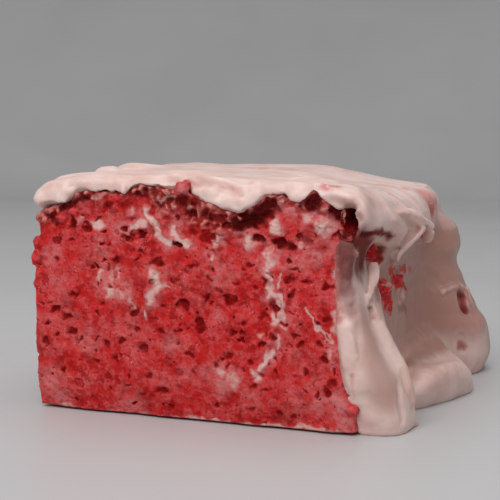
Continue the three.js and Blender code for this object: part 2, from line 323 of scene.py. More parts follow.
class Clay:
    """A mesh that is shaped in steps. Its lengths are given in millimetres."""

    def __init__(self, thing: bpy.types.Object) -> None:
        """Takes over an object that sits at the origin, unturned and unscaled."""
        self.thing = thing

    @classmethod
    def from_node(cls, node: Node, name: str) -> "Clay":
        """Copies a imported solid's mesh and merges its loose triangles.

        Args:
            node: The solid to copy.
            name: The new object's name.

        Returns:
            The copy.
        """
        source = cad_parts[node.value]
        thing = bpy.data.objects.new(name, source.data.copy())
        bpy.context.scene.collection.objects.link(thing)
        clay = cls(thing)
        clay.pick()
        bpy.ops.object.mode_set(mode="EDIT")
        bpy.ops.mesh.select_all(action="SELECT")
        bpy.ops.mesh.remove_doubles(threshold=0.002 * MM)
        bpy.ops.object.mode_set(mode="OBJECT")
        thing.data.materials.clear()
        return clay

    @classmethod
    def ball(cls, name: str, subdivisions: int) -> "Clay":
        """Adds a ball of radius 1 mm at the origin.

        Args:
            name: The new object's name.
            subdivisions: How finely the ball is divided.

        Returns:
            The ball.
        """
        bpy.ops.object.select_all(action="DESELECT")
        bpy.ops.mesh.primitive_ico_sphere_add(subdivisions=subdivisions, radius=MM)
        thing = bpy.context.object
        thing.name = name
        return cls(thing)

    def copy(self) -> "Clay":
        """Copies this piece, with a mesh of its own."""
        thing = self.thing.copy()
        thing.data = self.thing.data.copy()
        bpy.context.scene.collection.objects.link(thing)
        return Clay(thing)

    def pick(self) -> None:
        """Makes this the one selected and active object."""
        bpy.ops.object.select_all(action="DESELECT")
        self.thing.select_set(True)
        bpy.context.view_layer.objects.active = self.thing

    @staticmethod
    def read(items: bpy.types.bpy_prop_collection, name: str, width: int, kind: type) -> np.ndarray:
        """Reads a property of all vertices, edges, corners or faces.

        Args:
            items: The mesh's items.
            name: The property.
            width: How many numbers each item has.
            kind: The kind of number.

        Returns:
            All numbers in one row.
        """
        numbers = np.empty(len(items) * width, dtype=kind)
        items.foreach_get(name, numbers)
        return numbers

    @property
    def triangles(self) -> int:
        """How many triangles the mesh has."""
        return len(self.thing.data.loops) - 2 * len(self.thing.data.polygons)

    @property
    def points(self) -> np.ndarray:
        """The vertices in millimetres, three to a row."""
        return self.read(self.thing.data.vertices, "co", 3, float).reshape(-1, 3) / MM

    @points.setter
    def points(self, moved: np.ndarray) -> None:
        """Moves the vertices."""
        self.thing.data.vertices.foreach_set("co", (moved * MM).ravel())
        self.thing.data.update()

    @property
    def normals(self) -> np.ndarray:
        """The vertices' outward normals."""
        flat = self.read(self.thing.data.vertex_normals, "vector", 3, np.float32)
        return flat.reshape(-1, 3).astype(float)

    def relaxed(self, points: np.ndarray, rounds: int, hold: np.ndarray | None = None) -> np.ndarray:
        """Smooths points along this mesh's edges.

        Args:
            points: One row for each vertex.
            rounds: How often each point moves half way to its neighbours' middle.
            hold: A share from 0, moves freely, to 1, stays.

        Returns:
            The smoothed points.
        """
        ends = self.read(self.thing.data.edges, "vertices", 2, np.int32)
        first, second = ends[0::2], ends[1::2]
        both, other = np.concatenate([first, second]), np.concatenate([second, first])
        count = np.maximum(np.bincount(both, minlength=len(points)), 1)
        pull = 0.5 * (1.0 if hold is None else (1.0 - hold)[:, None])
        for _ in range(rounds):
            sums = [np.bincount(both, points[other, axis], len(points)) / count for axis in range(3)]
            points = points + pull * (np.stack(sums, axis=1) - points)
        return points

    def sag(self, rounds: int) -> np.ndarray:
        """How far each vertex lies below its surroundings, which are smoothed in rounds."""
        points = self.points
        return dot(self.relaxed(points, rounds) - points, self.normals)

    def absorb(self, others: Sequence["Clay"]) -> None:
        """Joins other pieces of clay into this one."""
        self.pick()
        for other in others:
            other.thing.select_set(True)
        bpy.ops.object.join()

    def remesh(self, voxel: float) -> None:
        """Makes one even skin of all that was joined.

        Args:
            voxel: The new skin's grid.
        """
        self.pick()
        modifier = self.thing.modifiers.new("skin", "REMESH")
        modifier.mode = "VOXEL"
        modifier.voxel_size = voxel * MM
        bpy.ops.object.modifier_apply(modifier=modifier.name)

    def thin(self, unseen: np.ndarray, keep: float) -> None:
        """Thins the mesh where it isn't seen.

        Args:
            unseen: True for each vertex that isn't seen.
            keep: The share of those faces that stays.
        """
        self.pick()
        mesh = self.thing.data
        corners = self.read(mesh.loops, "vertex_index", 1, np.int32)
        totals = self.read(mesh.polygons, "loop_total", 1, np.int32)
        starts = np.concatenate([[0], np.cumsum(totals)[:-1]])
        chosen = np.minimum.reduceat(unseen[corners].astype(np.int8), starts).astype(bool)
        bpy.ops.object.mode_set(mode="EDIT")
        bpy.ops.mesh.select_mode(type="FACE")
        bpy.ops.mesh.select_all(action="DESELECT")
        bpy.ops.object.mode_set(mode="OBJECT")
        mesh.polygons.foreach_set("select", chosen)
        bpy.ops.object.mode_set(mode="EDIT")
        bpy.ops.mesh.decimate(ratio=keep)
        bpy.ops.object.mode_set(mode="OBJECT")

    def limit(self, most: int) -> None:
        """Thins the whole mesh where it is flattest, if it has more triangles than most."""
        if self.triangles > most:
            self.thin(np.ones(len(self.thing.data.vertices), bool), most / self.triangles)

    def paint(self, mask: Mask, values: np.ndarray) -> None:
        """Stores a mask on the vertices, with values cut to 0 to 1."""
        layer = self.thing.data.attributes.new(mask.value, "FLOAT", "POINT")
        layer.data.foreach_set("value", np.clip(values, 0.0, 1.0).astype(np.float32))

    def gap_to(self, node: Node) -> np.ndarray:
        """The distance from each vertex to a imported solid.

        Args:
            node: The solid.

        Returns:
            A distance for each vertex, GAP_READ for those that are farther away.
        """
        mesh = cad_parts[node.value].data
        tree = BVHTree.FromPolygons([v.co for v in mesh.vertices], [p.vertices for p in mesh.polygons])
        gaps = np.full(len(self.thing.data.vertices), GAP_READ)
        for number, vertex in enumerate(self.thing.data.vertices):
            found = tree.find_nearest(vertex.co, GAP_READ * MM)[3]
            if found is not None:
                gaps[number] = found / MM
        return gaps

    def finish(self, node: Node, slot: Slot, material: bpy.types.Material) -> None:
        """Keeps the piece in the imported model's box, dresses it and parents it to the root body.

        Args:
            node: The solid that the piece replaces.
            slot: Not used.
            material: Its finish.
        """
        low, high = (np.array(corner) / MM for corner in CAD_BOUNDS)
        self.points = np.clip(self.points, low + 0.01, high - 0.01)
        self.thing.data.materials.append(material)
        self.pick()
        bpy.ops.object.shade_smooth()
        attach(self.thing, "root")
        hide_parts(node.value)
        LOG.info("%s: %d triangles", self.thing.name, self.triangles)


class Sheet:
    """A material's node sheet, with short ways to add and join its nodes."""

    def __init__(self, name: str) -> None:
        """Starts a material with one shader.

        Args:
            name: The material's name.
        """
        self.material = bpy.data.materials.new(name)
        self.material.use_nodes = True
        self.tree = self.material.node_tree
        self.tree.nodes.clear()
        self.shader = self.add("BsdfPrincipled")
        self.add("OutputMaterial", Surface=self.shader.outputs["BSDF"])
        self.space = self.add("TexCoord").outputs["Object"]

    def fill(self, node: bpy.types.Node, inputs: dict[str | int, Input]) -> None:
        """Links sockets to a node's inputs or sets plain values on them.

        Args:
            node: The node.
            inputs: A socket or a value for each input's name or number.
        """
        for name, value in inputs.items():
            if isinstance(value, Socket):
                self.tree.links.new(value, node.inputs[name])
            else:
                node.inputs[name].default_value = value

    def add(self, kind: str, **inputs: Input) -> bpy.types.Node:
        """Adds a node and fills its inputs; an underscore in their names stands for a space."""
        node = self.tree.nodes.new("ShaderNode" + kind)
        self.fill(node, {name.replace("_", " "): value for name, value in inputs.items()})
        return node

    def finish(self, colour: Socket, roughness: Socket | float, **inputs: Input) -> None:
        """Fills the shader's inputs; an underscore in their names stands for a space."""
        plain = {name.replace("_", " "): value for name, value in inputs.items()}
        self.fill(self.shader, {"Base Color": colour, "Roughness": roughness} | plain)

    def stretched(self, stretch: Place, turn: float) -> Socket:
        """Object coordinates, turned about the upright axis by turn degrees and stretched."""
        turned = (0.0, 0.0, math.radians(turn))
        return self.add("Mapping", Scale=stretch, Rotation=turned, Vector=self.space).outputs["Vector"]

    def noise(self, size: float, detail: float = 4.0, space: Socket | None = None) -> Socket:
        """Cloudy noise, its clouds size millimetres long, with detail finer layers."""
        scale = 1.0 / (size * MM)
        return self.add("TexNoise", Scale=scale, Detail=detail, Vector=space or self.space).outputs["Fac"]

    def cells(self, size: float) -> Socket:
        """The distance, from 0 to about 1, to the nearest of points scattered size millimetres apart."""
        return self.add("TexVoronoi", Scale=1.0 / (size * MM), Vector=self.space).outputs["Distance"]

    def mask(self, mask: Mask) -> Socket:
        """Reads a vertex mask."""
        node = self.add("Attribute")
        node.attribute_name = mask.value
        return node.outputs["Fac"]

    def eased(self, value: Socket, low: float, high: float, most: float = 1.0) -> Socket:
        """Eases a value from 0 at low to its most at high; low may be the greater.

        Args:
            value: The value.
            low: Where the result is 0.
            high: Where the result is greatest.
            most: The greatest result.

        Returns:
            The eased value.
        """
        node = self.add("MapRange", Value=value, From_Min=low, From_Max=high, To_Max=most)
        node.interpolation_type = "SMOOTHSTEP"
        return node.outputs["Result"]

    def calc(self, operation: str, first: Socket, second: Socket | float) -> Socket:
        """Does one sum.

        Args:
            operation: The name of the sum, such as ADD.
            first: The first value.
            second: The second value.

        Returns:
            The result.
        """
        node = self.add("Math")
        node.operation = operation
        self.fill(node, {0: first, 1: second})
        return node.outputs["Value"]

    def times(self, first: Socket, second: Socket | float) -> Socket:
        """Multiplies two values."""
        return self.calc("MULTIPLY", first, second)

    def ramp(self, value: Socket, *stops: tuple[float, Colour]) -> Socket:
        """Turns a value into a colour.

        Args:
            value: The value.
            stops: Places from 0 to 1 with their colours.

        Returns:
            The colour.
        """
        node = self.add("ValToRGB", Fac=value)
        elements = node.color_ramp.elements
        while len(elements) < len(stops):
            elements.new(1.0)
        for element, (place, colour) in zip(elements, stops):
            element.position = place
            element.color = (*colour, 1.0)
        return node.outputs["Color"]

    def coats(self, colour: Socket, *coats: tuple[Socket, Socket | Colour]) -> Socket:
        """Lays coats of colour over a colour, the last on top.

        Args:
            colour: The lowest colour.
            coats: How much each coat covers, from 0 to 1, and its colour.

        Returns:
            The colour of all.
        """
        for share, over in coats:
            node = self.add("Mix", Factor=share)
            node.data_type = "RGBA"
            self.fill(node, {6: colour, 7: over if isinstance(over, Socket) else (*over, 1.0)})
            colour = node.outputs[2]
        return colour

    def bump(self, height: Socket, depth: float, under: Socket | None = None) -> Socket:
        """Raises the shading by a height.

        Args:
            height: The height, from 0 to 1.
            depth: What a height of 1 stands for in millimetres.
            under: The bump that this one lies on.

        Returns:
            The normal.
        """
        node = self.add("Bump", Distance=depth * MM, Height=height)
        if under is not None:
            self.fill(node, {"Normal": under})
        return node.outputs["Normal"]


@dataclass(frozen=True)
class CrumbFinish:
    """Moist red crumb: mottled, with painted shade deep red in its pores and hollows, a painted pink
    highlight on its ridges and painted glints, hazy and smeared in places.
    """

    deep: Colour = (0.38, 0.006, 0.007)
    bright: Colour = (0.62, 0.018, 0.018)
    pink: Colour = (0.66, 0.092, 0.096)
    haze: Colour = (0.68, 0.230, 0.230)
    damp: Colour = (0.36, 0.004, 0.005)
    # Painted shade colours of the pores and hollows.
    pore: Colour = (0.34, 0.003, 0.003)
    deep_pore_shade: Colour = (0.17, 0.0015, 0.0015)
    crust: Colour = (0.66, 0.265, 0.240)
    toasted: Colour = (0.47, 0.078, 0.068)
    scorched: Colour = (0.32, 0.016, 0.013)
    # Painted shade in the crust's crevices.
    crevice_shade: Colour = (0.14, 0.004, 0.003)
    # Painted shade colour for the hollows under the frosting.
    gloom: Colour = (0.08, 0.002, 0.002)
    # Painted glints: pale dots that stand in for sparkles of light on the moist crumb.
    glint: Colour = (0.85, 0.45, 0.43)
    smear: Colour = (0.78, 0.510, 0.465)
    patch_size: float = 5.5
    mottle_size: float = 1.5
    damp_size: float = 2.0
    fleck_size: float = 0.7
    glint_size: float = 0.8
    flake_size: float = 0.9
    roughness: float = 0.42

    def material(self) -> bpy.types.Material:
        """Builds the material."""
        sheet = Sheet("crumb_red")
        patches = sheet.noise(self.patch_size)
        mottle = sheet.noise(self.mottle_size, 5.0)
        flecks = sheet.noise(self.fleck_size, 3.0)
        damp = sheet.noise(self.damp_size, 3.0)
        relief, crust, pore, gloom = map(sheet.mask, (Mask.RELIEF, Mask.CRUST, Mask.PORE, Mask.GLOOM))
        film = sheet.times(sheet.mask(Mask.HAZE), sheet.eased(mottle, 0.2, 0.6))
        smear = sheet.times(sheet.mask(Mask.SMEAR), sheet.eased(mottle, 0.12, 0.4))
        # Painted glints, scattered in the paler patches.
        near_point = sheet.eased(sheet.cells(self.glint_size), 0.24, 0.1)
        glints = sheet.times(near_point, sheet.eased(patches, 0.5, 0.62))
        rough = sheet.calc("ADD", relief, sheet.times(mottle, 0.35))
        # The crust's colour follows its relief: paler tan on raised lumps, darker down to painted shade in
        # its crevices.
        browned_and_shaded = sheet.ramp(
            rough, (0.42, self.crust), (0.58, self.toasted), (0.72, self.scorched), (0.92, self.crevice_shade)
        )
        colour = sheet.coats(
            sheet.ramp(patches, (0.3, self.deep), (0.48, self.bright), (0.78, self.pink)),
            (sheet.eased(mottle, 0.44, 0.68, 0.75), self.pink),
            # Painted highlight: a pink sheen on the ridges.
            (sheet.eased(relief, 0.46, 0.2, 0.5), self.pink),
            (sheet.eased(flecks, 0.47, 0.3, 0.8), self.deep),
            (sheet.eased(damp, 0.53, 0.65, 0.75), self.damp),
            (film, self.haze),
            # Painted shade in the hollows.
            (sheet.eased(relief, 0.54, 0.78, 0.8), self.pore),
            (crust, browned_and_shaded),
            (smear, self.smear),
            # Painted glints.
            (sheet.times(glints, 0.4), self.glint),
            # Painted shade in the pores, darker where they are deeper.
            (pore, sheet.ramp(relief, (0.5, self.pore), (0.85, self.deep_pore_shade))),
            (gloom, self.gloom),
        )
        dull = sheet.calc("ADD", sheet.times(pore, 0.4), gloom)
        flaky = sheet.bump(sheet.times(sheet.cells(self.flake_size), crust), 0.6)
        sheet.finish(
            colour,
            sheet.calc("ADD", dull, self.roughness),
            Normal=sheet.bump(mottle, 0.5, sheet.bump(flecks, 0.28, flaky)),
            Specular_IOR_Level=0.12,
            Subsurface_Weight=0.35,
            Subsurface_Radius=(1.0, 0.14, 0.12),
            Subsurface_Scale=1.8 * MM,
        )
        return sheet.material


@dataclass(frozen=True)
class FrostingFinish:
    """Dusty pink frosting, soft and slightly glossy, with red crumb caught in it, stains of crumb, and
    painted shade in its grooves, creases and hollows, on the side and at the back.
    """

    pale: Colour = (0.82, 0.620, 0.570)
    base: Colour = (0.76, 0.545, 0.495)
    warm: Colour = (0.69, 0.450, 0.395)
    red: Colour = (0.62, 0.022, 0.024)
    dark_red: Colour = (0.34, 0.008, 0.010)
    # Stains of crumb, and painted shade in creases, in hollows and under the lip.
    stain: Colour = (0.17, 0.018, 0.016)
    shade: Colour = (0.46, 0.240, 0.195)
    cloud_size: float = 9.0
    streak_size: float = 2.8
    rag_size: float = 1.4
    crumb_size: float = 0.9
    fine_size: float = 0.8
    roughness: float = 0.36

    def material(self) -> bpy.types.Material:
        """Builds the material."""
        sheet = Sheet("frosting_pink")
        streaks = sheet.noise(self.streak_size, space=sheet.stretched((0.2, 1.0, 1.0), 10.0))
        ragged = sheet.noise(self.rag_size)
        red = sheet.times(sheet.mask(Mask.RED), sheet.eased(ragged, 0.24, 0.46))
        stain = sheet.times(sheet.mask(Mask.STAIN), sheet.eased(ragged, 0.06, 0.3))
        colour = sheet.coats(
            sheet.ramp(sheet.noise(self.cloud_size), (0.35, self.warm), (0.5, self.base), (0.68, self.pale)),
            (sheet.eased(streaks, 0.48, 0.7, 0.55), self.pale),
            (sheet.mask(Mask.SHADE), self.shade),
            # Painted shade: a warmer, darker tone in the grooves.
            (sheet.times(sheet.mask(Mask.GROOVE), 0.75), self.warm),
            (red, sheet.ramp(sheet.noise(self.crumb_size), (0.36, self.dark_red), (0.54, self.red))),
            (stain, self.stain),
        )
        dull = sheet.times(sheet.calc("MAXIMUM", red, stain), 0.45)
        sheet.finish(
            colour,
            sheet.calc("ADD", dull, self.roughness),
            Normal=sheet.bump(streaks, 0.22, sheet.bump(sheet.noise(self.fine_size), 0.05)),
            Specular_IOR_Level=0.32,
            Subsurface_Weight=0.3,
            Subsurface_Radius=(1.0, 0.5, 0.38),
            Subsurface_Scale=2.2 * MM,
        )
        return sheet.material


@dataclass(frozen=True)
class FloorFinish:
    """A plain pale floor with a faint mottle."""

    pale: Colour = (0.52, 0.52, 0.525)
    paler: Colour = (0.56, 0.56, 0.565)
    mottle_size: float = 120.0

    def material(self) -> bpy.types.Material:
        """Builds the material."""
        sheet = Sheet("pale_floor")
        mottle = sheet.noise(self.mottle_size, 2.0)
        colour = sheet.ramp(mottle, (0.3, self.pale), (0.7, self.paler))
        sheet.finish(colour, 0.42, Specular_IOR_Level=0.4)
        return sheet.material


@dataclass(frozen=True)
class Trace:
    """A dab of colour, as strong as its amount, or a ridge, as high as its amount, along a path.

    A path has places across and up on the front cut, or places in space. A furrow's amount is below 0.
    """

    half_width: float
    amount: float
    path: Path


def traces(*rows: tuple) -> tuple[Trace, ...]:
    """Makes traces of rows, each with a half width, an amount and the points of a path."""
    return tuple(Trace(row[0], row[1], row[2:]) for row in rows)


def dabbed(
    points: np.ndarray, dabs: Sequence[Trace], inner: float, outer: float, broken: np.ndarray | float = 0.0
) -> np.ndarray:
    """How much some dabs cover each point.

    Args:
        points: The points, with as many columns as the dabs' paths have.
        dabs: The dabs.
        inner: The share of its half width to which a dab is full.
        outer: The share of its half width at which it ends.
        broken: What is added to that share, for a broken outline.

    Returns:
        A share from 0 to 1 for each point.
    """
    share = np.zeros(len(points))
    for dab in dabs:
        away = distance_to_path(points, dab.path) / dab.half_width
        share = np.maximum(share, dab.amount * fall(away + broken, inner, outer))
    return share


# Frosting smeared over the front cut by the knife.
SMEARS: tuple[Trace, ...] = traces(
    (0.82, 1.0, (-24.6, 44.9), (-24.0, 44.9)), (0.35, 0.7, (-28.7, 46.2)),
    (0.55, 0.9, (-15.6, 44.5), (-13.0, 45.5), (-12.5, 46.5)),
    (0.69, 1.0, (-12.0, 48.8), (-11.0, 47.4), (-10.2, 46.3)), (0.23, 0.7, (-10.2, 46.1), (-9.5, 44.5)),
    (0.8, 1.0, (-9.5, 44.3), (-7.7, 42.5), (-6.0, 40.9)),
    (0.52, 1.0, (-5.0, 44.9), (-5.0, 43.1), (-4.0, 41.7), (-1.8, 41.1)), (0.46, 0.45, (-15.5, 48.0)),
    (0.36, 0.8, (-39.1, 48.7)), (0.36, 0.55, (-8.2, 50.5), (-6.5, 51.7), (-5.0, 51.9)),
    (1.17, 1.0, (-21.3, 28.8)), (0.37, 0.7, (-23.6, 34.1), (-23.9, 32.7), (-24.1, 31.3)),
    (0.28, 0.5, (-19.7, 35.0), (-18.9, 32.0)), (0.28, 0.45, (-21.2, 33.8), (-20.7, 30.5)),
    (0.3, 0.5, (-19.2, 29.6), (-17.7, 28.3)), (0.33, 0.5, (-16.1, 28.4), (-15.6, 26.1)),
    (0.92, 1.0, (-10.5, 34.3), (-9.8, 32.7), (-9.3, 31.1)), (0.92, 1.0, (-10.3, 29.7), (-11.3, 27.5)),
    (0.37, 0.8, (-9.3, 32.5), (-7.5, 31.0)), (0.46, 1.0, (-12.0, 24.4)),
    (0.48, 0.8, (-33.7, 0.6), (-30.4, 0.4)), (0.34, 0.7, (4.3, 39.1), (4.3, 37.5)),
    (0.75, 0.85, (17.7, 40.1), (18.4, 37.9), (17.7, 35.7)),
    (0.53, 0.85, (17.7, 35.2), (18.5, 32.1), (19.0, 30.6)), (0.22, 0.7, (21.0, 34.9), (20.1, 32.2)),
    (0.53, 0.9, (18.3, 30.3), (20.4, 30.0), (21.3, 28.2), (21.3, 26.7), (20.2, 25.0), (18.3, 25.4)),
    (0.67, 0.9, (19.7, 24.1)), (0.36, 0.8, (21.6, 23.5)), (0.49, 0.7, (16.0, 20.9)),
    (0.22, 0.6, (20.2, 21.9), (20.2, 19.8)),
    (0.24, 0.9, (26.2, 28.1), (27.6, 26.4), (29.5, 23.8), (30.9, 21.7), (32.3, 20.4)),
    (0.27, 0.8, (20.2, 20.7), (19.8, 18.7)), (0.58, 1.0, (18.8, 17.7), (17.4, 15.8), (16.5, 13.9)),
    (0.58, 0.95, (14.6, 12.6), (15.8, 11.1)), (0.59, 0.8, (5.9, 12.2), (6.9, 12.5)),
    (1.13, 0.5, (8.8, 11.5), (9.8, 9.7)),
    (0.22, 0.7, (31.3, 22.6), (32.7, 22.2), (32.5, 20.9), (31.3, 21.0)), (0.48, 0.8, (32.3, 18.2)),
    (0.88, 1.0, (19.0, 46.6), (19.5, 45.1)), (1.11, 0.85, (13.0, 42.4), (13.2, 41.5)),
    (0.45, 0.7, (5.8, 42.8), (4.6, 40.9)), (1.52, 0.9, (30.5, 46.3)), (0.87, 0.6, (26.9, 47.8)),
    (0.66, 0.6, (25.1, 41.8)),
    (0.52, 0.7, (34.6, 42.6), (34.2, 39.9), (33.8, 37.7), (33.7, 32.5), (33.7, 28.1), (33.6, 23.6)),
    (0.41, 0.85, (-0.5, 0.2), (7.9, 0.5), (11.3, 0.1), (15.2, 0.3), (18.5, 0.6), (23.7, 0.4),
        (27.9, 1.2), (34.4, 0.7)),
    (0.28, 0.5, (-28.3, 0.1), (-21.4, 0.2), (-11.1, -0.0), (-1.0, 0.2)),
    (0.44, 0.5, (17.5, 40.6), (17.2, 39.2)),
)

# Thin pale films on the front cut.
FILMS: tuple[Trace, ...] = traces(
    (3.6, 0.55, (6.3, 34.2)), (2.2, 0.77, (27, 39.2)), (1.8, 0.55, (18.2, 37.9)),
    (1.4, 0.44, (6.3, 25.1)), (2.3, 0.55, (8.4, 11.2)), (3.1, 0.55, (30.2, 7.1)),
    (1.8, 1.1, (34.7, 6.6)), (2.1, 0.44, (-2, 10.9)), (3.3, 0.55, (-27.6, 17.3)),
    (3.5, 0.66, (-20.2, 31)), (3.8, 0.66, (-37.9, 6.3)), (2.5, 0.55, (-6, 17.8)), (1.9, 0.33, (-11, 9)),
    (2.4, 0.66, (-37, 37.1)), (2.8, 0.66, (-18.6, 43.9)), (2.7, 0.66, (-7, 48.9)),
    (2.3, 0.5, (-23.8, 38.6)), (1.1, 0.55, (5.3, 42.3)), (1.3, 0.77, (22.7, 50)),
    (1.3, 0.66, (29.6, 44.1)), (2.3, 0.44, (1.4, 49)), (2.3, 0.39, (2.7, 11.2)),
    (3.4, 0.55, (-34.7, 2.2)), (2, 0.55, (32, 41.2)), (2.7, 0.5, (24.6, 6.1)), (2.7, 0.33, (13.7, 6.4)),
    (3.8, 0.44, (-16.2, 2.6)), (1.3, 0.33, (16.4, 29.3)), (1.3, 0.39, (33, 30.2)),
    (1.8, 0.55, (-3.5, 46.5)), (1.2, 0.8, (-25.9, 45.1), (-23.8, 44.7)),
    (0.94, 0.7, (-29.3, 45.2), (-28.5, 45.7)), (1.0, 0.5, (-24.8, 42.8), (-23.3, 41.9)),
    (1.0, 0.5, (-21.2, 46.6), (-19.1, 45.5)), (1.8, 0.85, (-18.6, 44.2), (-17.1, 43.3)),
    (1.6, 0.9, (-15.3, 44.7), (-12.8, 45.3)), (1.3, 0.8, (-12.3, 48.5), (-10.5, 46.5)),
    (1.2, 0.6, (-15.5, 48.0), (-15.0, 47.1)), (1.5, 0.7, (-9.2, 44.3), (-6.0, 41.2)),
    (1.5, 0.8, (-4.8, 44.7), (-4.5, 42.8), (-2.0, 41.3), (-1.1, 41.6)),
    (1.5, 0.8, (-8.5, 51.2), (-6.0, 51.7)), (1.6, 0.7, (-6.7, 50.3), (-5.5, 49.2)),
    (1.5, 0.6, (-4.8, 47.6), (-3.5, 46.1)), (1.3, 0.8, (5.5, 42.5), (6.7, 43.0)),
    (1.3, 0.7, (4.1, 39.5), (4.8, 38.2)), (2.2, 0.8, (12.0, 43.9), (13.9, 42.0)),
    (1.5, 0.7, (17.0, 42.8), (18.6, 41.0)), (2.0, 0.8, (17.7, 40.1), (19.6, 38.9)),
    (1.4, 0.8, (19.0, 46.8), (20.2, 45.5)), (2.1, 0.85, (20.8, 50.6), (23.2, 49.8), (24.5, 50.5)),
    (2.6, 1.0, (27.3, 48.0), (31.9, 47.3), (33.2, 46.4)), (1.7, 0.8, (30.1, 44.4), (31.0, 43.7)),
    (0.9, 0.9, (24.9, 41.7), (25.6, 42.0)), (2.2, 0.8, (26.3, 40.5), (28.8, 39.3)),
    (1.1, 0.9, (34.4, 42.6), (34.7, 40.0)), (1.0, 0.8, (35.2, 46.5), (35.7, 45.2)),
    (1.8, 0.55, (21.2, 38.0), (25.2, 36.9)), (1.6, 0.7, (16.3, 37.8), (16.8, 36.1)),
    (2.4, 0.85, (-23.2, 31.8), (-20.8, 29.2), (-17.4, 29.2)),
    (1.1, 0.75, (-20.2, 29.4), (-23.8, 31.4), (-24.0, 34.6)), (0.9, 0.6, (-20.6, 30.0), (-21.6, 34.6)),
    (0.9, 0.6, (-19.6, 30.2), (-19.0, 34.8)), (1.2, 0.6, (-17.8, 29.6), (-15.4, 25.8)),
    (1.6, 0.6, (-10.4, 34.4), (-8.6, 31.4), (-11.0, 27.0)),
    (1.7, 0.7, (19.2, 31.6), (18.6, 29.8), (20.8, 26.6)), (1.8, 0.6, (21.0, 24.6), (23.6, 23.8)),
    (1.3, 0.6, (20.2, 21.6), (18.6, 17.0), (15.4, 11.6)),
    (2.2, 0.75, (6.0, 12.4), (9.6, 10.6), (6.4, 8.8)), (1.4, 0.7, (33.0, 19.0), (33.6, 16.0)),
    (2.0, 0.8, (33.4, 9.0), (35.4, 5.0), (36.4, 2.0)), (1.3, 0.7, (34.4, 38.0), (34.2, 24.0)),
)

# Painted shade in the dark hollows under the frosting.
GLOOMS: tuple[Trace, ...] = traces(
    (1.3, 0.9, (-34.2, 49.2), (-32.7, 49.4), (-30.3, 50.4), (-27.9, 51.1)),
    (1.1, 0.7, (-38.3, 47.3), (-36.4, 46.1), (-35.4, 45.0)), (0.8, 0.45, (-31.6, 45.4), (-30.8, 44.7)),
    (0.55, 0.55, (-25.0, 52.1), (-22.4, 52.4), (-19.1, 52.3)),
    (0.7, 0.6, (-15.8, 52.4), (-13.5, 52.9), (-11.0, 52.9), (-9.0, 52.3)),
    (1.1, 0.35, (-21.7, 49.4), (-20.4, 48.5)), (0.6, 0.7, (-9.7, 50.9), (-8.7, 49.1)),
    (1.0, 0.7, (-3.5, 51.0), (-0.6, 50.5), (1.4, 50.5)), (0.8, 0.8, (-1.1, 48.4), (0.2, 48.0)),
    (1.0, 0.5, (2.6, 48.1), (5.0, 47.0), (7.4, 47.1)),
    (2.1, 1.0, (10.1, 46.5), (13.4, 47.1), (16.2, 49.2), (18.3, 50.8)),
    (1.2, 1.0, (13.4, 46.6), (14.8, 46.2)), (0.7, 0.8, (19.0, 51.0), (21.1, 52.4)),
    (1.5, 1.0, (27.5, 51.3), (28.6, 51.7)), (0.9, 0.9, (25.7, 50.6), (27.0, 52.6), (27.9, 53.0)),
    (1.8, 1.0, (33.0, 49.5), (35.4, 48.9), (36.5, 47.2)),
    (1.3, 0.9, (35.4, 47.0), (36.4, 45.3), (34.8, 43.5)),
    (1.2, 0.75, (20.0, 42.2), (20.9, 41.6), (23.0, 41.4)), (1.1, 0.55, (25.3, 43.7), (26.9, 43.4)),
    (0.7, 0.8, (20.6, 42.4), (22.8, 41.2)), (0.9, 0.45, (15.3, 42.7), (16.3, 42.1)),
    (0.8, 0.35, (-13.3, 43.2)), (0.8, 0.8, (-4.3, 40.6)), (0.5, 0.6, (5.0, 43.4), (6.7, 43.3)),
)

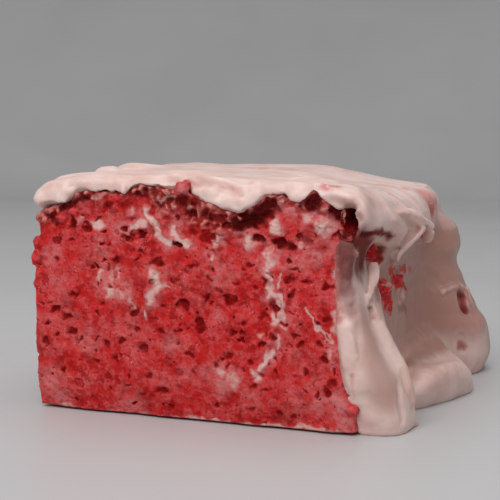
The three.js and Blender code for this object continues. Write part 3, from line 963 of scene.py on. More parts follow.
# The large bubbles of the front cut: across, up, half width, half height.
PORES: tuple[tuple[float, float, float, float], ...] = (
    (-36.4, 46.4, 1.26, 1.18), (-31.4, 45.4, 1.25, 1.18), (-27.4, 44.3, 1.25, 1.17),
    (-21.2, 49.4, 1.48, 0.93), (-17.9, 42.3, 0.99, 0.93), (-15.5, 46.8, 0.98, 0.51),
    (-13.3, 43.2, 1.35, 0.92), (-4.3, 40.6, 1.09, 0.91), (-19.9, 37.1, 1.48, 0.81),
    (-13.3, 38.8, 1.23, 0.69), (-15.8, 39.2, 0.62, 0.51), (-9.5, 36.7, 1.96, 0.8),
    (-35.7, 36.2, 0.76, 1.07), (-21.7, 40.1, 0.62, 0.58), (-32.7, 49.6, 3.0, 1.06),
    (-39.1, 48.9, 1.01, 0.95), (-31.4, 41.1, 0.75, 0.71), (-4.0, 47.4, 0.73, 0.68),
    (-1.6, 48.6, 0.72, 0.91), (-35.8, 24.2, 1.52, 1.07), (-32.4, 22.5, 1.39, 0.95),
    (-31.3, 19.2, 1.77, 0.95), (-35.4, 18.0, 0.89, 0.84), (-38.4, 16.1, 1.02, 0.96),
    (-30.5, 28.1, 1.26, 0.95), (-25.0, 23.9, 0.75, 0.71), (-15.1, 24.9, 1.24, 0.93),
    (-8.2, 27.0, 0.98, 0.69), (-5.2, 32.9, 1.46, 0.69), (-2.7, 27.1, 1.7, 1.03),
    (-8.5, 20.7, 1.23, 0.81), (-14.6, 20.7, 0.99, 0.93), (-18.2, 17.7, 1.12, 0.82),
    (-22.6, 16.7, 1.0, 0.94), (-13.3, 16.4, 1.36, 1.4), (-20.0, 13.5, 0.87, 0.82),
    (-24.8, 12.2, 1.38, 0.71), (-33.8, 9.6, 1.02, 0.84), (-6.0, 14.3, 1.23, 0.42),
    (-3.7, 18.2, 0.49, 0.46), (-8.3, 6.6, 2.22, 0.93), (-13.1, 5.0, 0.62, 0.58),
    (-16.7, 9.5, 0.62, 0.51), (-16.4, 7.1, 0.7, 0.52), (-11.6, 10.1, 0.87, 0.58),
    (-5.5, 3.1, 0.74, 0.58), (-25.3, 14.8, 0.63, 0.59), (-25.0, 17.9, 0.63, 0.59),
    (-28.7, 17.0, 0.76, 0.71), (5.6, 30.7, 1.2, 0.68), (2.9, 29.0, 1.21, 0.91),
    (8.5, 28.9, 1.92, 1.35), (1.2, 22.2, 1.21, 1.82), (9.5, 21.8, 1.08, 1.02),
    (12.1, 21.8, 1.08, 1.12), (12.4, 24.1, 0.84, 0.67), (16.4, 25.5, 0.83, 1.12),
    (19.2, 27.7, 1.18, 1.78), (17.5, 33.4, 1.18, 0.56), (14.7, 32.1, 0.95, 0.67),
    (23.8, 36.4, 1.41, 0.55), (26.8, 34.1, 1.17, 0.66), (22.9, 34.1, 1.88, 0.88),
    (31.8, 33.0, 1.63, 0.66), (31.7, 26.0, 1.05, 0.66), (30.1, 24.5, 0.82, 0.77),
    (21.4, 24.6, 0.59, 0.56), (-0.3, 35.7, 1.45, 0.57), (3.9, 33.4, 0.84, 0.57),
    (10.4, 32.8, 1.19, 0.45), (13.2, 37.0, 1.19, 0.67), (24.4, 22.1, 1.18, 0.66),
    (18.8, 20.9, 0.95, 0.67), (22.9, 31.2, 1.18, 0.55), (16.5, 18.9, 1.19, 0.9),
    (19.3, 16.6, 0.95, 0.89), (25.4, 19.7, 0.94, 0.77), (30.0, 20.3, 0.7, 1.1),
    (8.1, 16.3, 0.96, 1.02), (8.3, 14.0, 0.48, 0.68), (13.9, 14.8, 0.96, 0.79),
    (5.7, 14.0, 0.85, 0.8), (31.2, 16.8, 1.05, 0.99), (26.8, 14.0, 0.94, 0.89),
    (19.8, 13.7, 0.71, 0.67), (12.0, 12.6, 0.38, 0.79), (14.9, 9.4, 1.08, 0.79),
    (33.5, 14.1, 0.82, 0.77), (33.3, 11.4, 1.17, 0.88), (26.7, 9.5, 0.71, 0.55),
    (29.4, 8.8, 0.59, 0.88), (23.9, 2.7, 0.95, 0.67), (20.9, 3.5, 0.6, 1.12),
    (5.0, 4.4, 0.73, 0.91), (14.0, 4.1, 0.96, 0.68), (-1.2, 15.6, 0.98, 0.69),
    (0.0, 11.5, 0.98, 0.46), (17.5, 8.7, 0.96, 0.45), (32.2, 9.7, 0.94, 1.1),
    (13.4, 47.1, 2.84, 1.56), (20.2, 42.2, 1.41, 1.1), (23.0, 41.4, 1.05, 0.99),
    (25.8, 44.2, 0.93, 0.55), (27.7, 51.5, 1.62, 1.31), (35.9, 48.3, 2.3, 2.38),
    (33.3, 44.3, 1.15, 0.65), (15.3, 42.7, 1.42, 0.89), (-0.6, 43.4, 1.45, 0.68),
    (2.9, 44.3, 1.2, 0.56), (-0.1, 48.2, 0.96, 0.68),
)


# How far the frosting's lower edge is lifted, across the front cut.
LIP_LIFT = Profile(
    (
        -39.0, -36.9, -34.2, -32.4, -30.3, -27.6, -25.0, -18.6, -16.8, -13.5, -9.7, -6.0, -3.0, 0.5,
        2.6, 5.0, 10.5, 12.2, 14.8, 17.0, 21.5, 23.0, 25.2, 27.9, 31.0, 33.6, 36.0, 38.0,
    ),
    (
        0.8, 1.3, 0.7, 0.6, 1.5, 1.4, 1.4, 0.7, 0.6, 1.6, 1.5, 0.7, 0.3, 0.8,
        0.0, -0.2, -0.5, 0.0, 0.4, 0.8, 0.9, -0.5, -0.9, 1.5, -0.2, -1.4, -0.8, 0.0,
    ),
)
# How high the torn crust ends, across the front cut, and how far it reaches down from there.
CRUST_EDGE = Profile(
    (-39.0, -34.0, -29.0, -19.0, -7.0, 0.0, 9.0, 12.0, 16.0, 23.0, 33.0, 38.0),
    (47.5, 48.8, 51.0, 52.8, 52.8, 52.2, 49.2, 48.6, 51.5, 52.8, 52.4, 50.5),
)
CRUST_DEPTH = Profile(
    (-39.0, -33.0, -27.0, -12.0, -8.0, 0.0, 8.0, 13.0, 18.0, 24.0, 31.0, 35.0, 39.0),
    (4.0, 2.4, 1.2, 1.4, 5.0, 7.5, 6.5, 4.5, 3.2, 3.2, 3.6, 8.0, 9.0),
)
# How far the left corner and the drape stand out, up their height.
LEFT_BULGE = Profile((0.0, 6.0, 28.0, 36.0, 43.0, 48.0, 52.0), (1.9, 1.5, 1.4, 1.7, 1.7, 1.6, 1.8))
DRAPE_BULGE = Profile((38.0, 41.0, 44.0, 47.0, 50.0, 54.0), (0.0, 0.6, 1.8, 1.0, -0.6, -1.6))


class Spot(Enum):
    """Where loose crumbs lie, and how many lie there."""

    LIP = 5
    CORNER = 8
    HOLLOW = 77
    EDGE = 100
    LEFT_CUT = 60


@dataclass
class CrumbBlock:
    """The red crumb block, cut on its front and left faces; its zones are named for what lies there."""

    voxel: float = 0.28
    hidden_share: float = 0.02
    left_share: float = 0.3
    most_triangles: int = 185_000
    grain: Grain = Grain(11)
    lip_crumb: Place = (-2.6, -43.6, 53.2)
    corner_crumb: Place = (35.6, -43.4, 44.8)
    row_radius: float = 1.9
    row_step: float = 1.25
    flattened: float = 0.92
    face: Zone = Zone(x=(-36.8, -35.8, 35.5, 34.0), z=(3.0, 4.0))
    crust: Zone = Zone(y=(FRONT + 5.0, FRONT + 1.0), z=(47.0, 51.0))
    left_corner: Zone = Zone(x=(-28.0, LEFT), y=(FRONT + 26.0, FRONT + 4.0))
    recess: Zone = Zone(x=(34.6, 36.4), z=(43.4, 45.0))
    # Where painted shade darkens the crumb towards the bottom.
    bottom_shade: Zone = Zone(x=(30.0, 18.0), z=(16.0, 3.0))

    def __post_init__(self) -> None:
        """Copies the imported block."""
        self.clay = Clay.from_node(Node.SPONGE, "crumb_block")

    def loose_crumb(self, spot: Spot, draw: np.random.Generator) -> tuple[float, np.ndarray]:
        """Draws one loose crumb.

        Args:
            spot: Where it lies.
            draw: The random numbers.

        Returns:
            Its radius and its place.
        """
        radius = draw.uniform(0.35, 1.05)
        if spot is Spot.LIP:
            return 0.95, np.array(self.lip_crumb) + draw.uniform(-1.0, 1.0, 3) * (1.3, 0.2, 1.5)
        if spot is Spot.CORNER:
            radius = draw.uniform(0.6, 1.0)
            return radius, np.array(self.corner_crumb) + draw.uniform(-1.0, 1.0, 3) * (1.5, 0.4, 1.1)
        if spot is Spot.LEFT_CUT:
            y, z = draw.uniform(-41.0, 41.0), draw.uniform(43.0, 49.5)
            return radius, np.array([LEFT + 0.2 * radius, y, z])
        left, right, lowest = (-9.0, 13.0, -7.5) if spot is Spot.HOLLOW else (LEFT + 1.0, 33.0, -3.5)
        x = draw.uniform(left, right)
        z = draw.uniform(lowest, -0.6) + CRUST_EDGE.at(x)
        return radius, np.array([x, FRONT + 0.3 * radius, z])

    @staticmethod
    def torn_crumb(crumb: Clay, radius: float, place: np.ndarray, uneven: np.ndarray, seed: int) -> Clay:
        """Shapes a copied ball into a torn crumb.

        Args:
            crumb: The ball.
            radius: The crumb's radius.
            place: Its middle.
            uneven: How much longer it is along each axis.
            seed: The seed of its rough outline.

        Returns:
            The crumb.
        """
        ball = crumb.points
        rough = 1.0 + min(0.35, 0.35 / radius) * Grain(seed).swell(ball, 0.7)
        crumb.points = ball * (radius * rough)[:, None] * uneven + place
        return crumb

    def add_torn_crumbs(self) -> None:
        """Sets loose crumbs along the crust of both cut faces, and rows of large ones behind them."""
        draw = np.random.default_rng(5)
        model = Clay.ball("torn_crumb", 3)
        crumbs: list[Clay] = []
        for spot in Spot:
            for _ in range(spot.value):
                radius, place = self.loose_crumb(spot, draw)
                uneven = draw.uniform(0.7, 1.25, 3)
                crumbs.append(self.torn_crumb(model.copy(), radius, place, uneven, len(crumbs)))
        for x, below in itertools.product(np.arange(-37.0, 33.6, self.row_step), (1.9, 3.4, 5.0)):
            place = np.array([x, FRONT + 2.0, CRUST_EDGE.at(x) - below])
            crumbs.append(self.torn_crumb(model.copy(), self.row_radius, place, np.ones(3), len(crumbs)))
        bpy.data.objects.remove(model.thing)
        self.clay.absorb(crumbs)

    def skin(self) -> None:
        """Makes one even skin, thin where frosting or floor hides it and on the left cut."""
        self.clay.remesh(self.voxel)
        self.clay.points = self.clay.relaxed(self.clay.points, 4)
        x, y, z = self.clay.points.T
        inland = (y > FRONT + 3.0) & (x > LEFT + 3.0)
        mouth = (x > 30.0) & (y > -31.0) & (y < 2.0) & (z > 20.0) & (z < 46.0)
        covered = inland & ((z > 45.0) | (x > 34.0) | (y > 38.0)) & ~mouth
        resting = (self.clay.normals[:, 2] < -0.9) & (z < 0.35)
        self.clay.thin(covered | resting, self.hidden_share)
        x, y, z = self.clay.points.T
        self.clay.thin((x < LEFT + 2.5) & (y > FRONT + 3.0), self.left_share)
        points = self.clay.points
        x, y, z = points.T
        flat = self.face.share(points) * (y < -35.0) * fall(z - CRUST_EDGE.at(x), -2.4, -1.4)
        points[:, 1] -= self.flattened * np.clip(y - FRONT - 0.3, 0.0, 8.0) * flat
        raised = 0.35 + np.maximum(LIP_LIFT.at(x), 0.0) + 0.8 * rise(-x, 34.0, 38.0)
        wider = self.left_corner.share(points) * LEFT_BULGE.at(z)
        points[:, 2] += raised * self.crust.share(points)
        points[:, 0] -= wider
        self.clay.points = points

    def pores(
        self, ragged: np.ndarray, normals: np.ndarray, on_front: np.ndarray
    ) -> tuple[np.ndarray, np.ndarray]:
        """Opens the small bubbles of all cut faces and the large ones of the front cut.

        Args:
            ragged: The points, shifted for ragged outlines.
            normals: Their normals.
            on_front: 1 on the front cut.

        Returns:
            The depth at each point, and how much it lies in a pore, which steers the painted shade of the
            pores.
        """
        upright = ragged * np.array([0.62, 0.62, 1.0])
        fewer = (0.4 + 0.6 * rise(self.clay.points[:, 2], 3.0, 16.0)) * (1.0 - 0.75 * on_front)
        depth = self.grain.bubbles(upright, normals, 4.4, (0.6, 1.3), 0.42) * fewer
        depth = np.maximum(depth, Grain(12).bubbles(upright, normals, 2.2, (0.28, 0.6), 0.5))
        depth = np.maximum(depth, Grain(14).bubbles(upright, normals, 1.3, (0.16, 0.36), 0.6))
        pore = rise(depth, 0.03, 0.35) * 0.9
        for number, (x, z, wide, high) in enumerate(PORES):
            away = np.hypot((ragged[:, 0] - x) / wide, (ragged[:, 2] - z) / high)
            hollow = np.clip(1.15 - away**2, 0.0, 1.0) * 0.6 * min(wide, high)
            depth = np.maximum(depth, hollow * on_front)
            strength = 0.6 + 0.4 * (number * 0.618 % 1.0)
            pore = np.maximum(pore, on_front * strength * fall(away, 0.6, 1.3))
        return depth, pore

    def carve(self) -> None:
        """Carves pores, torn crust and rough crumb, and paints the masks."""
        points, normals = self.clay.points, self.clay.normals
        free = rise(self.clay.gap_to(Node.FROSTING), 0.4, 2.2)
        on_front = rise(-normals[:, 1], 0.3, 0.7) * rise(-points[:, 1], -FRONT - 4.0, -FRONT - 2.5)
        ragged = Grain(21).drift(Grain(21).drift(points, 0.8, 1.7), 0.42, 0.75)
        face = ragged[:, [0, 2]]
        depth, pore = self.pores(ragged, normals, on_front)
        under = np.where(on_front > 0.3, CRUST_EDGE.at(points[:, 0]), 50.0) - points[:, 2]
        reach = np.where(on_front > 0.3, CRUST_DEPTH.at(points[:, 0]), 5.0)
        torn = fall((under + 1.2 * self.grain.swell(points, 3.6)) / reach, 0.5, 1.05)
        recess = self.recess.share(ragged) * fall(points[:, 1], -34.0, -28.0)
        # Painted shade in the hollows under the frosting and in the recess at the front right.
        gloom = np.maximum(dabbed(face, GLOOMS, 0.35, 1.4) * on_front, 0.85 * recess)
        # Painted shade, darker towards the bottom, away from the right.
        gloom = np.maximum(gloom, 0.09 * self.bottom_shade.share(points))
        depth = np.maximum(depth, 0.4 * gloom)
        flakes = points * np.array([0.6, 0.6, 1.0])
        crease = fall(np.abs(Grain(15).swell(flakes, 1.1)), 0.0, 0.45)
        crease *= rise(Grain(16).swell(points, 3.0), -0.1, 0.5)
        rough = 0.22 * self.grain.layers(points, 3.4, 2) + 0.22 * self.grain.layers(points, 1.2, 2)
        rough += torn * (0.85 * self.grain.layers(points, 1.9, 3) - 0.05)
        smear = 0.9 * dabbed(face, SMEARS, 0.45, 1.75) * on_front
        proud = np.clip(FRONT - points[:, 1], 0.0, 0.9) * on_front
        moved = rough - 0.16 * crease - depth - 0.12 + smear * (0.06 - 0.7 * proud)
        moved = np.where(moved > 0.0, moved * free, moved * (0.35 + 0.65 * free))
        carved = points + normals * (moved * rise(points[:, 2], 0.2, 1.6))[:, None]
        past = np.maximum(LEFT - 2.0 - carved[:, 0], 0.0)
        carved[:, 0] += past - 1.5 * (1.0 - np.exp(-past / 1.5))
        self.clay.points = self.clay.relaxed(carved, 2, 1.0 - torn)
        self.clay.paint(Mask.GLOOM, gloom)
        # Painted shade in the pores, weaker under the smears and in the torn crust.
        self.clay.paint(Mask.PORE, pore * (1.0 - 0.7 * smear) * (1.0 - 0.5 * torn))
        self.clay.paint(Mask.SMEAR, smear)
        self.mask_out(points, torn, on_front)

    def mask_out(self, before: np.ndarray, torn: np.ndarray, on_front: np.ndarray) -> None:
        """Paints the crumb's relief, which steers painted shade in its hollows and a painted highlight on
        its ridges, and its crust and haze.

        Args:
            before: The points before they were carved.
            torn: The share of torn crust.
            on_front: 1 on the front cut.
        """
        self.clay.paint(Mask.RELIEF, 0.5 + 0.9 * self.clay.sag(12) + 0.4 * self.clay.sag(90))
        caught = distance_to_path(before, ((-2.6, -43.6, 53.4),))
        self.clay.paint(Mask.CRUST, 0.9 * torn * rise(caught, 2.2, 3.0))
        haze = 0.55 * rise(self.grain.layers(before, 7.0, 3), 0.15, 0.6) * (1.0 - 0.6 * on_front)
        films = dabbed(Grain(21).drift(before, 1.0, 2.2)[:, [0, 2]], FILMS, 0.0, 1.8) * on_front
        self.clay.paint(Mask.HAZE, np.maximum(haze, np.maximum(films, 0.7 * fall(caught, 1.2, 2.6))))

    def build(self) -> None:
        """Builds and dresses the block."""
        self.add_torn_crumbs()
        self.skin()
        self.carve()
        self.clay.limit(self.most_triangles)
        self.clay.finish(Node.SPONGE, Slot.CRUMB, CrumbFinish().material())


@dataclass(frozen=True)
class Ribbon:
    """A strand of frosting along a path; out points away from the surface that it lies on."""

    path: Path
    half_width: float
    relief: float
    out: Place
    tip: float = 1.0

    def clay(self) -> Clay:
        """Models the strand from a ball."""
        clay = Clay.ball("frosting_strand", 4)
        ball = clay.points
        share = (ball[:, 2] + 1.0) / 2.0
        middle = curve_point(self.path, share)
        ahead = curve_point(self.path, share + 0.02) - curve_point(self.path, share - 0.02)
        away = np.array(self.out) / np.linalg.norm(self.out)
        across = np.cross(away, ahead)
        across /= np.linalg.norm(across, axis=1)[:, None]
        blunt = np.sqrt(np.maximum(1.0 - np.abs(ball[:, 2]) ** 5, 0.0)) / np.sqrt(
            np.maximum(1.0 - ball[:, 2] ** 2, 1e-6)
        )
        blunt = np.minimum(blunt, 2.2) * (1.0 + (self.tip - 1.0) * share)
        clay.points = (
            middle
            + across * (ball[:, 0] * self.half_width * blunt)[:, None]
            + away * (ball[:, 1] * self.relief * blunt)[:, None]
        )
        return clay


SIDE: Place = (1.0, 0.0, 0.0)
AHEAD: Place = (0.0, -1.0, 0.0)
ASLANT: Place = (0.45, -0.9, 0.0)

RIBBONS: tuple[Ribbon, ...] = (
    Ribbon(
        ((39.2, -34.0, 38.2), (39.7, -34.2, 34.8), (39.2, -35.0, 31.6), (38.7, -36.0, 28.2)),
        1.9, 0.7, ASLANT, 0.25,
    ),
    Ribbon(
        ((42.6, -20.0, 47.4), (43.6, -10.4, 46.4), (44.2, -7.4, 44.0), (44.0, -10.4, 42.0),
         (43.2, -15.4, 40.6), (42.2, -19.2, 38.8), (41.6, -19.8, 36.4)),
        1.4, 0.9, SIDE, 0.6,
    ),
    Ribbon(
        ((42.8, -25.0, 48.6), (43.6, -15.3, 47.8), (44.4, -7.0, 46.0), (44.3, 1.0, 43.6), (43.9, 5.6, 40.8)),
        0.9, 1.1, SIDE,
    ),
    Ribbon(((44.0, 4.8, 42.2), (43.8, 6.4, 39.6)), 1.5, 1.4, SIDE),
    Ribbon(((42.4, -19.8, 39.6), (41.9, -20.2, 37.8), (41.5, -20.2, 36.2)), 0.7, 0.9, SIDE, 0.3),
    Ribbon(((34.6, -43.0, 43.0), (36.2, -42.6, 40.6), (37.6, -41.8, 39.0)), 2.2, 0.8, AHEAD, 0.8),
    Ribbon(
        ((38.6, -34.4, 28.0), (39.2, -33.8, 28.4), (40.0, -33.4, 26.8), (40.6, -33.2, 24.8)),
        0.6, 0.5, ASLANT,
    ),
    Ribbon(((-17.5, -43.9, 54.6), (-17.3, -44.2, 52.6), (-17.1, -44.2, 51.4)), 0.7, 0.6, AHEAD),
    Ribbon(((38.0, -41.8, 50.5), (38.4, -41.9, 48.0), (38.5, -41.6, 45.2)), 1.6, 0.7, ASLANT, 0.4),
    Ribbon(
        ((34.3, -43.0, 44.0), (34.0, -42.9, 38.0), (34.1, -43.0, 32.0), (34.5, -43.5, 27.0),
         (35.0, -44.1, 22.0)),
        0.75, 0.55, AHEAD,
    ),
)


# Soft ridges and furrows in the frosting.
STROKES: tuple[Trace, ...] = traces(
    (1.2, -1.8, (38.6, -41.0, 44.5), (39.5, -36.8, 44.7), (39.2, -29.3, 44.2), (40.3, -25.4, 43.6)),
    (2.4, 0.9, (38.0, -25.0, 41.6), (39.5, -22.4, 41.4)),
    (2.6, -1.2, (42.8, -19.0, 45.4), (43.0, -16.0, 44.0), (42.6, -19.0, 42.8)),
    (1.8, -0.9, (43.6, -4.0, 44.2), (43.6, -5.0, 42.0)),
    (2.3, -1.9, (47.4, 34.0, 21.6), (47.8, 33.2, 20.0), (48.0, 34.0, 18.0)),
    (1.8, 0.9, (44.0, 27.4, 23.6), (45.6, 30.6, 24.8), (47.6, 35.0, 25.4), (48.4, 39.0, 23.0)),
    (1.8, 0.6, (48.4, 39.0, 23.0), (48.9, 38.6, 18.6)),
    (2.2, -0.45, (48.1, 29.6, 11.0), (48.3, 31.0, 8.0)),
    (3.4, -2.6, (42.4, -20.0, 6.0), (43.0, -12.0, 8.8), (45.0, -4.0, 10.6), (47.0, 3.0, 11.0),
        (48.6, 8.4, 10.4)),
    (4.0, 2.2, (44.8, -17.0, 4.0), (47.2, -9.0, 7.0), (49.6, 0.0, 8.8), (51.6, 5.6, 8.0),
        (53.0, 9.6, 6.0)),
    (6.0, 1.0, (48.6, -11.0, 3.6), (50.6, -6.1, 4.6), (53.0, 3.3, 4.6)),
    (3.4, -0.7, (38.7, 4.6, 28.3), (39.1, 16.0, 29.6), (40.8, 22.5, 28.7), (42.9, 26.0, 26.7)),
    (1.9, 1.2, (39.6, -8.0, 27.0), (39.6, -6.4, 26.4)),
    (2.8, 0.6, (36.6, -44.4, 24.0), (36.9, -44.5, 21.0), (36.7, -44.6, 17.0)),
    (1.5, -0.4, (38.5, -43.4, 24.6), (38.8, -43.9, 21.6), (38.8, -44.0, 19.0)),
    (3.0, 0.9, (41.4, -33.0, 23.2), (42.4, -33.0, 21.4), (44.0, -32.6, 18.4), (45.8, -32.0, 15.4),
        (47.2, -31.8, 11.4), (48.2, -31.6, 7.0)),
    (0.6, -0.35, (37.6, -44.6, 14.0), (37.8, -44.1, 9.8), (38.1, -43.4, 7.3)),
    (1.6, 0.9, (-6.1, -41.6, 56.2), (-2.1, -40.3, 56.8), (6.9, -40.9, 56.0), (11.0, -42.0, 54.8)),
    (1.5, -0.9, (-1.8, -42.8, 55.0), (2.9, -42.6, 55.2), (7.7, -42.8, 54.6), (10.8, -43.4, 53.4)),
    (1.3, 0.6, (3.0, -43.2, 53.4), (8.4, -43.8, 52.6), (11.4, -44.0, 51.6)),
    (1.4, -0.5, (-14.0, -42.6, 55.4), (-9.0, -42.6, 55.6), (-5.0, -42.8, 55.4)),
    (2.4, -0.6, (-24.0, -36.0, 57.2), (-4.0, -33.0, 57.4), (14.0, -35.0, 56.6), (26.0, -37.6, 55.6)),
    (2.0, 0.7, (-22.0, -31.0, 57.2), (-2.0, -27.0, 57.4), (16.0, -29.0, 56.6), (30.0, -32.6, 55.0)),
    (2.6, 0.8, (-37.0, -16.0, 56.2), (-34.0, -16.0, 56.6)),
    (2.6, 0.8, (-30.6, -12.7, 57.0), (-27.6, -12.7, 57.0)),
    (1.5, -0.55, (46.2, -36.6, 11.1), (46.9, -37.6, 6.9), (47.6, -37.4, 3.2)),
    (1.3, -0.5, (46.5, -33.3, 13.9), (47.6, -33.7, 9.5), (48.6, -32.0, 5.0)),
    (0.8, 0.5, (36.6, -45.0, 22.4), (37.5, -44.5, 22.9), (38.2, -43.9, 21.4), (38.6, -44.0, 18.2)),
    (1.0, -1.3, (39.0, -34.6, 27.0), (39.4, -35.0, 25.4)),
    (3.0, 0.5, (39.8, -42.6, 7.0), (41.6, -41.0, 4.6)),
    (1.6, 0.8, (-33.0, -44.0, 53.2), (-31.4, -44.0, 52.4)),
)

# The middle of the column at the front right corner.
COLUMN: Path = ((36.0, -43.4, 44.6), (36.4, -42.6, 36.0), (36.4, -43.0, 31.0))


# Red crumb caught in the frosting.
CAUGHT: tuple[Trace, ...] = traces(
    (2.0, 1.0, (38.9, -23.6, 32.6), (39.3, -22.4, 31.2)),
    (3.3, 1.0, (39.4, -22.0, 29.9), (39.3, -19.8, 28.2)),
    (2.4, 1.0, (39.3, -19.6, 27.6), (39.7, -18.4, 26.2)),
    (2.3, 1.0, (39.8, -13.0, 31.2), (39.8, -8.5, 30.3), (39.2, -3.6, 29.4)),
    (1.5, 0.9, (39.2, -4.0, 28.8), (38.9, 1.0, 27.8)),
    (1.3, 0.8, (38.7, -3.4, 33.0), (38.7, 0.8, 32.7)), (1.0, 0.6, (38.5, 6.8, 31.9), (38.5, 9.8, 31.6)),
    (1.2, 0.9, (38.9, -14.4, 33.7), (38.9, -10.8, 35.2)),
    (2.5, 1.0, (35.8, -22.9, 40.0), (36.6, -22.6, 39.0), (36.9, -21.6, 37.0)),
    (1.7, 0.6, (47.8, 35.4, 20.6), (48.0, 35.0, 18.8)),
)

# Colour that shows in or through it: red crumb and stains of crumb, with painted shade in creases, in
# hollows and under the lip, and painted shade on the side.
STAINS_AND_SHADE: dict[Mask, tuple[Trace, ...]] = {
    Mask.RED: traces(
        (1.1, 0.7, (38.2, -28.5, 30.2)),
        (2.1, 0.75, (42.2, 13.6, 47.6), (42.4, 16.4, 46.0), (42.3, 18.4, 47.0)),
        (2.2, 0.5, (40.6, 12.4, 51.8), (40.4, 17.0, 52.2)),
        (2.9, 0.42, (41.4, 11.0, 50.6), (41.8, 15.6, 49.4), (41.2, 19.4, 50.8), (42.0, 22.4, 48.4)),
        (1.6, 0.45, (48.2, 29.6, 8.8), (48.3, 31.8, 8.0)),
        (0.6, 0.35, (37.6, -44.6, 14.0), (37.8, -44.1, 9.8), (38.1, -43.4, 7.3)),
        (1.0, 0.8, (12.9, -41.1, 55.7)), (2.4, 0.65, (-3.4, 1.0, 56.9), (-1.6, 4.0, 56.9)),
        (1.8, 0.5, (-1.0, 8.0, 56.9)), (2.2, 0.4, (-5.6, 10.6, 56.9)),
        (1.6, 0.6, (30.6, -41.4, 55.0), (31.6, -38.4, 55.0)), (1.4, 0.35, (17.7, -27.8, 55.7)),
        (1.4, 0.3, (-1.8, -42.9, 54.8), (2.9, -42.8, 54.9), (7.7, -42.9, 54.3), (10.8, -43.6, 53.2)),
        (1.6, 0.45, (37.9, 4.6, 52.8)), (1.4, 0.3, (39.3, -16.6, 52.4)),
        (1.3, 0.25, (35.7, -21.7, 54.2)), (2.0, 0.4, (8.0, 41.0, 56.0)),
        (1.3, 0.55, (34.0, -43.6, 44.6), (33.8, -43.5, 38.0), (33.8, -43.6, 32.0), (34.1, -43.9, 26.0)),
    ),
    # Stains of crumb in the column, and painted shade in creases, in hollows and under the lip.
    Mask.STAIN: traces(
        (1.3, 0.9, (38.4, -22.4, 40.1), (38.5, -21.8, 39.0)),
        (0.8, 0.9, (37.6, -21.4, 37.3), (37.8, -20.0, 36.8)),
        (1.3, 0.5, (39.4, -30.4, 31.0), (39.6, -30.4, 29.4)),
        (1.1, 0.4, (39.5, -10.0, 24.3), (39.7, -5.1, 23.6), (39.9, 0.6, 22.4)),
        (2.2, 1.0, (47.3, 34.6, 21.8), (47.6, 33.2, 20.8), (47.9, 32.8, 18.8), (48.0, 34.0, 17.6)),
        (1.4, 0.45, (48.2, 29.8, 8.6), (48.3, 31.6, 8.0)),
        (1.3, 0.5, (31.9, -43.3, 52.8), (35.1, -42.7, 51.6), (36.9, -41.6, 50.0), (38.2, -42.5, 48.0)),
        (3.6, 0.9, (35.6, -43.2, 45.0), (35.6, -42.8, 41.0), (35.8, -42.4, 36.4)),
        (2.8, 0.75, (35.8, -42.4, 36.4), (36.0, -42.6, 32.4)),
        (2.0, 0.5, (36.6, -42.2, 31.6), (36.6, -43.2, 27.6)),
        (3.6, 0.9, (36.6, -37.4, 41.0), (36.8, -37.2, 37.4)),
        (2.4, 0.6, (36.8, -37.0, 37.0), (36.8, -35.0, 35.4)),
        (1.3, 1.0, (38.4, -40.0, 44.4), (38.6, -37.8, 44.5), (40.1, -36.6, 44.9), (40.8, -35.6, 44.8),
            (40.8, -30.0, 43.9), (40.8, -24.1, 42.8)),
        (4.0, 1.0, (38.0, -41.2, 43.4), (38.3, -38.6, 42.6), (37.6, -35.2, 40.6), (36.8, -33.6, 38.2)),
        (0.9, 0.8, (39.0, -34.4, 27.2), (39.4, -34.8, 25.6)),
    ),
    Mask.SHADE: traces(
        (2.6, 0.5, (47.8, 29.4, 12.6), (48.2, 30.2, 9.6)),
        (4.4, 0.66, (39.2, -40.0, 26.0), (40.4, -39.9, 22.5), (41.6, -40.8, 19.4), (42.9, -41.0, 16.2),
            (44.0, -41.0, 13.0), (45.1, -40.5, 9.6)),
        (3.8, 1.0, (42.4, -20.0, 7.6), (43.0, -9.0, 11.0), (44.0, 0.0, 12.5), (44.1, 10.0, 12.0),
            (44.6, 20.0, 11.0)),
    ),
}


